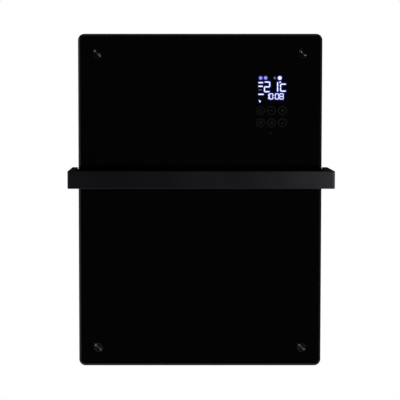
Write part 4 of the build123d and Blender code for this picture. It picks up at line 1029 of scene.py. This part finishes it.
class HEATER_OT_board_details(HeaterOperator, bpy.types.Operator):
    """Fits the power board and the display board with small components and solder joints"""

    bl_idname = "heater.board_details"
    bl_label = "Board details"

    def execute(self, context):
        low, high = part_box("power_board")
        taken = [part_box(name) for name in (
            "power_relay", "transformer", "capacitor", "live_lead", "switch_lead", "neutral_lead",
            "cutout_lead", "element_lead_left", "sensor_lead", "ribbon_cable",
        )]
        step, edge, clearance, chip_lift = 0.0085, 0.009, 0.003, 0.0004
        shift_x, shift_z, chip_share, joint_share = 0.0015, 0.001, 0.55, 0.6
        chance = random.Random(11)
        chips, joints = [], []
        across, up = int((high.x - low.x - 2 * edge) / step), int((high.z - low.z - 2 * edge) / step)
        for column in range(across + 1):
            for row in range(up + 1):
                x = low.x + edge + column * step + chance.uniform(-shift_x, shift_x)
                z = low.z + edge + row * step + chance.uniform(-shift_z, shift_z)
                free = all(
                    not (a.x - clearance < x < b.x + clearance and a.z - clearance < z < b.z + clearance)
                    for a, b in taken
                )
                if free and chance.random() < chip_share:
                    chips.append((x, low.y - chip_lift, z))
                if chance.random() < joint_share:
                    joints.append((x, high.y, z))
        repeated("board_chips", chips, "small_component", chip_piece, {
            "Length": sizes().chip_size, "Least Size": 0.55, "Seed": 5, "Material": finish_of("relay_black"),
        }, "heater")

        display_low, display_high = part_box("led_display")
        middle = (display_low + display_high) / 2
        board_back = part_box("display_board")[1].y
        pins, pin_pitch, row_reach = 12, 0.004, 0.022
        for column in range(pins):
            x = middle.x + (column - (pins - 1) / 2) * pin_pitch
            joints += [(x, board_back, middle.z + row * row_reach) for row in (-1, 1)]
        solder = drawn_metal("soft_solder", (0.62, 0.62, 0.6), 0.18, 0.3, (200.0, 200.0, 200.0))
        repeated("solder_joints", joints, "solder_joint", dome_piece, {
            "Radius": sizes().solder_radius, "Least Size": 0.75, "Seed": 3, "Material": solder,
        }, "heater")
        return {"FINISHED"}


# ---------------------------------------------------------------------- stage

FLOOR_RADIUS, FLOOR_MIDDLE = 2.6, (0, -0.4, -1.5)
LAMP_TARGET = Vector((0, -0.1, PANEL_MIDDLE))

# Soft boxes: name, place, width, height, power and the nodes that they leave unlit
LAMPS = (
    ("right_key", (0.80, -0.98, -0.02), 0.26, 0.9, 6.0, ("screw_caps",)),
    ("right_card", (1.33, -1.3, -0.15), 0.5, 1.8, 0.5, ("screw_caps",)),
    ("left_card", (-1.28, -1.3, -0.15), 0.5, 1.8, 1.6, ("screw_caps",)),
    ("upper_card", (0.0, -1.5, 1.25), 1.8, 0.5, 0.5, ("screw_caps",)),
    ("left_fill", (-2.0, -0.6, 0.1), 0.8, 1.2, 3.0, ("screw_caps",)),
    ("top_softbox", (0.1, -0.3, 1.9), 1.0, 0.6, 2.0, ("screw_caps", "towel_rail")),
    ("back_softbox", (-0.5, 1.9, 0.5), 1.6, 1.2, 20.0, ("towel_rail",)),
    ("back_low_softbox", (1.0, 1.5, -0.9), 1.2, 0.8, 9.0, ("towel_rail",)),
)

# Each cap has a spot that reaches the camera by way of a facet turned up and to the left
SPARK_FACET = Vector((-0.18, -1.0, 0.155)).normalized()
SPARK_DISTANCE, SPARK_POWER, SPARK_RADIUS = 1.5, 28.0, 0.12
SPARK_ANGLE, SPARK_BLEND = math.radians(6), 0.3

# The camera looks down a little and takes the rest of the photograph's framing by its shift
CAMERA_PLACE, CAMERA_TILT = (-0.0553, -1.887, 0.0876), 2.274
CAMERA_LENS, CAMERA_SENSOR = 79.5, 36.0
CAMERA_SHIFT_X, CAMERA_SHIFT_Y = 0.0671, -0.1989


def placed(name, data, place=(0, 0, 0)):
    """A new object of the stage, linked and put in its place."""
    made = bpy.data.objects.new(name, data)
    bpy.context.scene.collection.objects.link(made)
    made.location = place
    return made


def node_collection(name, names):
    """A collection of nodes for light linking."""
    made = bpy.data.collections.new(name)
    for each in names:
        made.objects.link(nodes[each])
    return made


def lay_floor():
    """A pale disc under the heater."""
    mesh = bpy.data.meshes.new("studio_floor")
    shape = bmesh.new()
    bmesh.ops.create_circle(shape, cap_ends=True, segments=96, radius=FLOOR_RADIUS)
    bmesh.ops.translate(shape, vec=FLOOR_MIDDLE, verts=shape.verts)
    shape.to_mesh(mesh)
    shape.free()
    floor = placed("studio_floor", mesh)
    pale = Finish("pale_floor", (0.82, 0.82, 0.82), 0.8)
    pale.tint(pale.effect("grain", Scale=60.0, Patches=2.0)["Tone"], (0.78, 0.78, 0.79), 0.4)
    pale.shader.inputs["Emission Color"].default_value = WHITE
    pale.shader.inputs["Emission Strength"].default_value = 0.3
    mesh.materials.append(pale.material)


def light_world(scene):
    """A white background for the camera, and a faint cool light for everything else."""
    scene.world = bpy.data.worlds.new("white_studio")
    scene.world.use_nodes = True
    tree = scene.world.node_tree
    tree.nodes.clear()
    seen = node(tree, "ShaderNodeBackground", {"Color": WHITE, "Strength": 1.0})
    faint = node(tree, "ShaderNodeBackground", {"Color": (0.9, 0.92, 1.0, 1.0), "Strength": 0.025})
    path = tree.nodes.new("ShaderNodeLightPath")
    mix = node(tree, "ShaderNodeMixShader", {
        0: path.outputs["Is Camera Ray"], 1: faint.outputs[0], 2: seen.outputs[0],
    })
    node(tree, "ShaderNodeOutputWorld", {0: mix.outputs[0]})


def hang_lamps():
    """The soft boxes around the heater."""
    for name, place, width, height, power, unlit in LAMPS:
        data = bpy.data.lights.new(name, "AREA")
        data.shape = "RECTANGLE"
        data.size, data.size_y, data.energy = width, height, power
        lamp = placed(name, data, place)
        lamp.rotation_euler = (LAMP_TARGET - Vector(place)).to_track_quat("-Z", "Y").to_euler()
        spared = node_collection(name + "_spares", unlit)
        for entry in spared.collection_objects:
            entry.light_linking.link_state = "EXCLUDE"
        lamp.light_linking.receiver_collection = spared
        lamp.visible_camera = False


def set_camera(scene):
    """The photograph's camera."""
    data = bpy.data.cameras.new("photo_camera")
    data.lens, data.sensor_width = CAMERA_LENS, CAMERA_SENSOR
    data.shift_x, data.shift_y = CAMERA_SHIFT_X, CAMERA_SHIFT_Y
    data.dof.use_dof = False
    camera = placed("photo_camera", data, CAMERA_PLACE)
    camera.rotation_euler = (math.radians(90 - CAMERA_TILT), 0, 0)
    scene.camera = camera


def spark_caps():
    """A spot for each screw cap, which lights only the caps."""
    caps_only = node_collection("cap_spark_lights", ("screw_caps",))
    for x in (CAP_LOW.x + CAP_RADIUS, CAP_HIGH.x - CAP_RADIUS):
        for z in (CAP_LOW.z + CAP_RADIUS, CAP_HIGH.z - CAP_RADIUS):
            cap = Vector((x, CAP_LOW.y, z))
            to_camera = (Vector(CAMERA_PLACE) - cap).normalized()
            to_light = 2 * to_camera.dot(SPARK_FACET) * SPARK_FACET - to_camera
            data = bpy.data.lights.new("cap_spark", "SPOT")
            data.energy, data.shadow_soft_size = SPARK_POWER, SPARK_RADIUS
            data.spot_size, data.spot_blend = SPARK_ANGLE, SPARK_BLEND
            lamp = placed("cap_spark", data, cap + SPARK_DISTANCE * to_light)
            lamp.rotation_euler = to_light.to_track_quat("Z", "Y").to_euler()
            lamp.light_linking.receiver_collection = caps_only


class HEATER_OT_stage(HeaterOperator, bpy.types.Operator):
    """Lays the pale floor, the studio lights and the camera of the photograph"""

    bl_idname = "heater.stage"
    bl_label = "Stage, light and camera"

    def execute(self, context):
        scene = context.scene
        lay_floor()
        light_world(scene)
        hang_lamps()
        set_camera(scene)
        spark_caps()
        scene.view_settings.view_transform = "Standard"
        return {"FINISHED"}


class HEATER_PT_sidebar(bpy.types.Panel):
    """The steps of the dressing, in order"""

    bl_idname = "HEATER_PT_sidebar"
    bl_label = "Glass heater"
    bl_space_type = "VIEW_3D"
    bl_region_type = "UI"
    bl_category = "Heater"

    def draw(self, context):
        for step in OPERATORS:
            self.layout.operator(step.bl_idname, text=step.bl_label)
        for group in (context.scene.heater_sizes, context.scene.heater_colours):
            box = self.layout.box()
            for key in group.__annotations__:
                box.prop(group, key)


OPERATORS = (
    HEATER_OT_stage,
    HEATER_OT_glass_front,
    HEATER_OT_towel_rail,
    HEATER_OT_casing,
    HEATER_OT_inner_parts,
    HEATER_OT_display_marks,
    HEATER_OT_touch_keys,
    HEATER_OT_recess_shade_crosses,
    HEATER_OT_board_details,
)
CLASSES = (HeaterSizes, HeaterColours, *OPERATORS, HEATER_PT_sidebar)


def register():
    for each in CLASSES:
        bpy.utils.register_class(each)
    bpy.types.Scene.heater_sizes = bpy.props.PointerProperty(type=HeaterSizes)
    bpy.types.Scene.heater_colours = bpy.props.PointerProperty(type=HeaterColours)


def unregister():
    del bpy.types.Scene.heater_colours
    del bpy.types.Scene.heater_sizes
    for each in reversed(CLASSES):
        bpy.utils.unregister_class(each)


def main():
    register()
    for step in OPERATORS:
        module, name = step.bl_idname.split(".")
        getattr(getattr(bpy.ops, module), name)()
    bpy.context.view_layer.update()


if __name__ == "__main__":
    main()
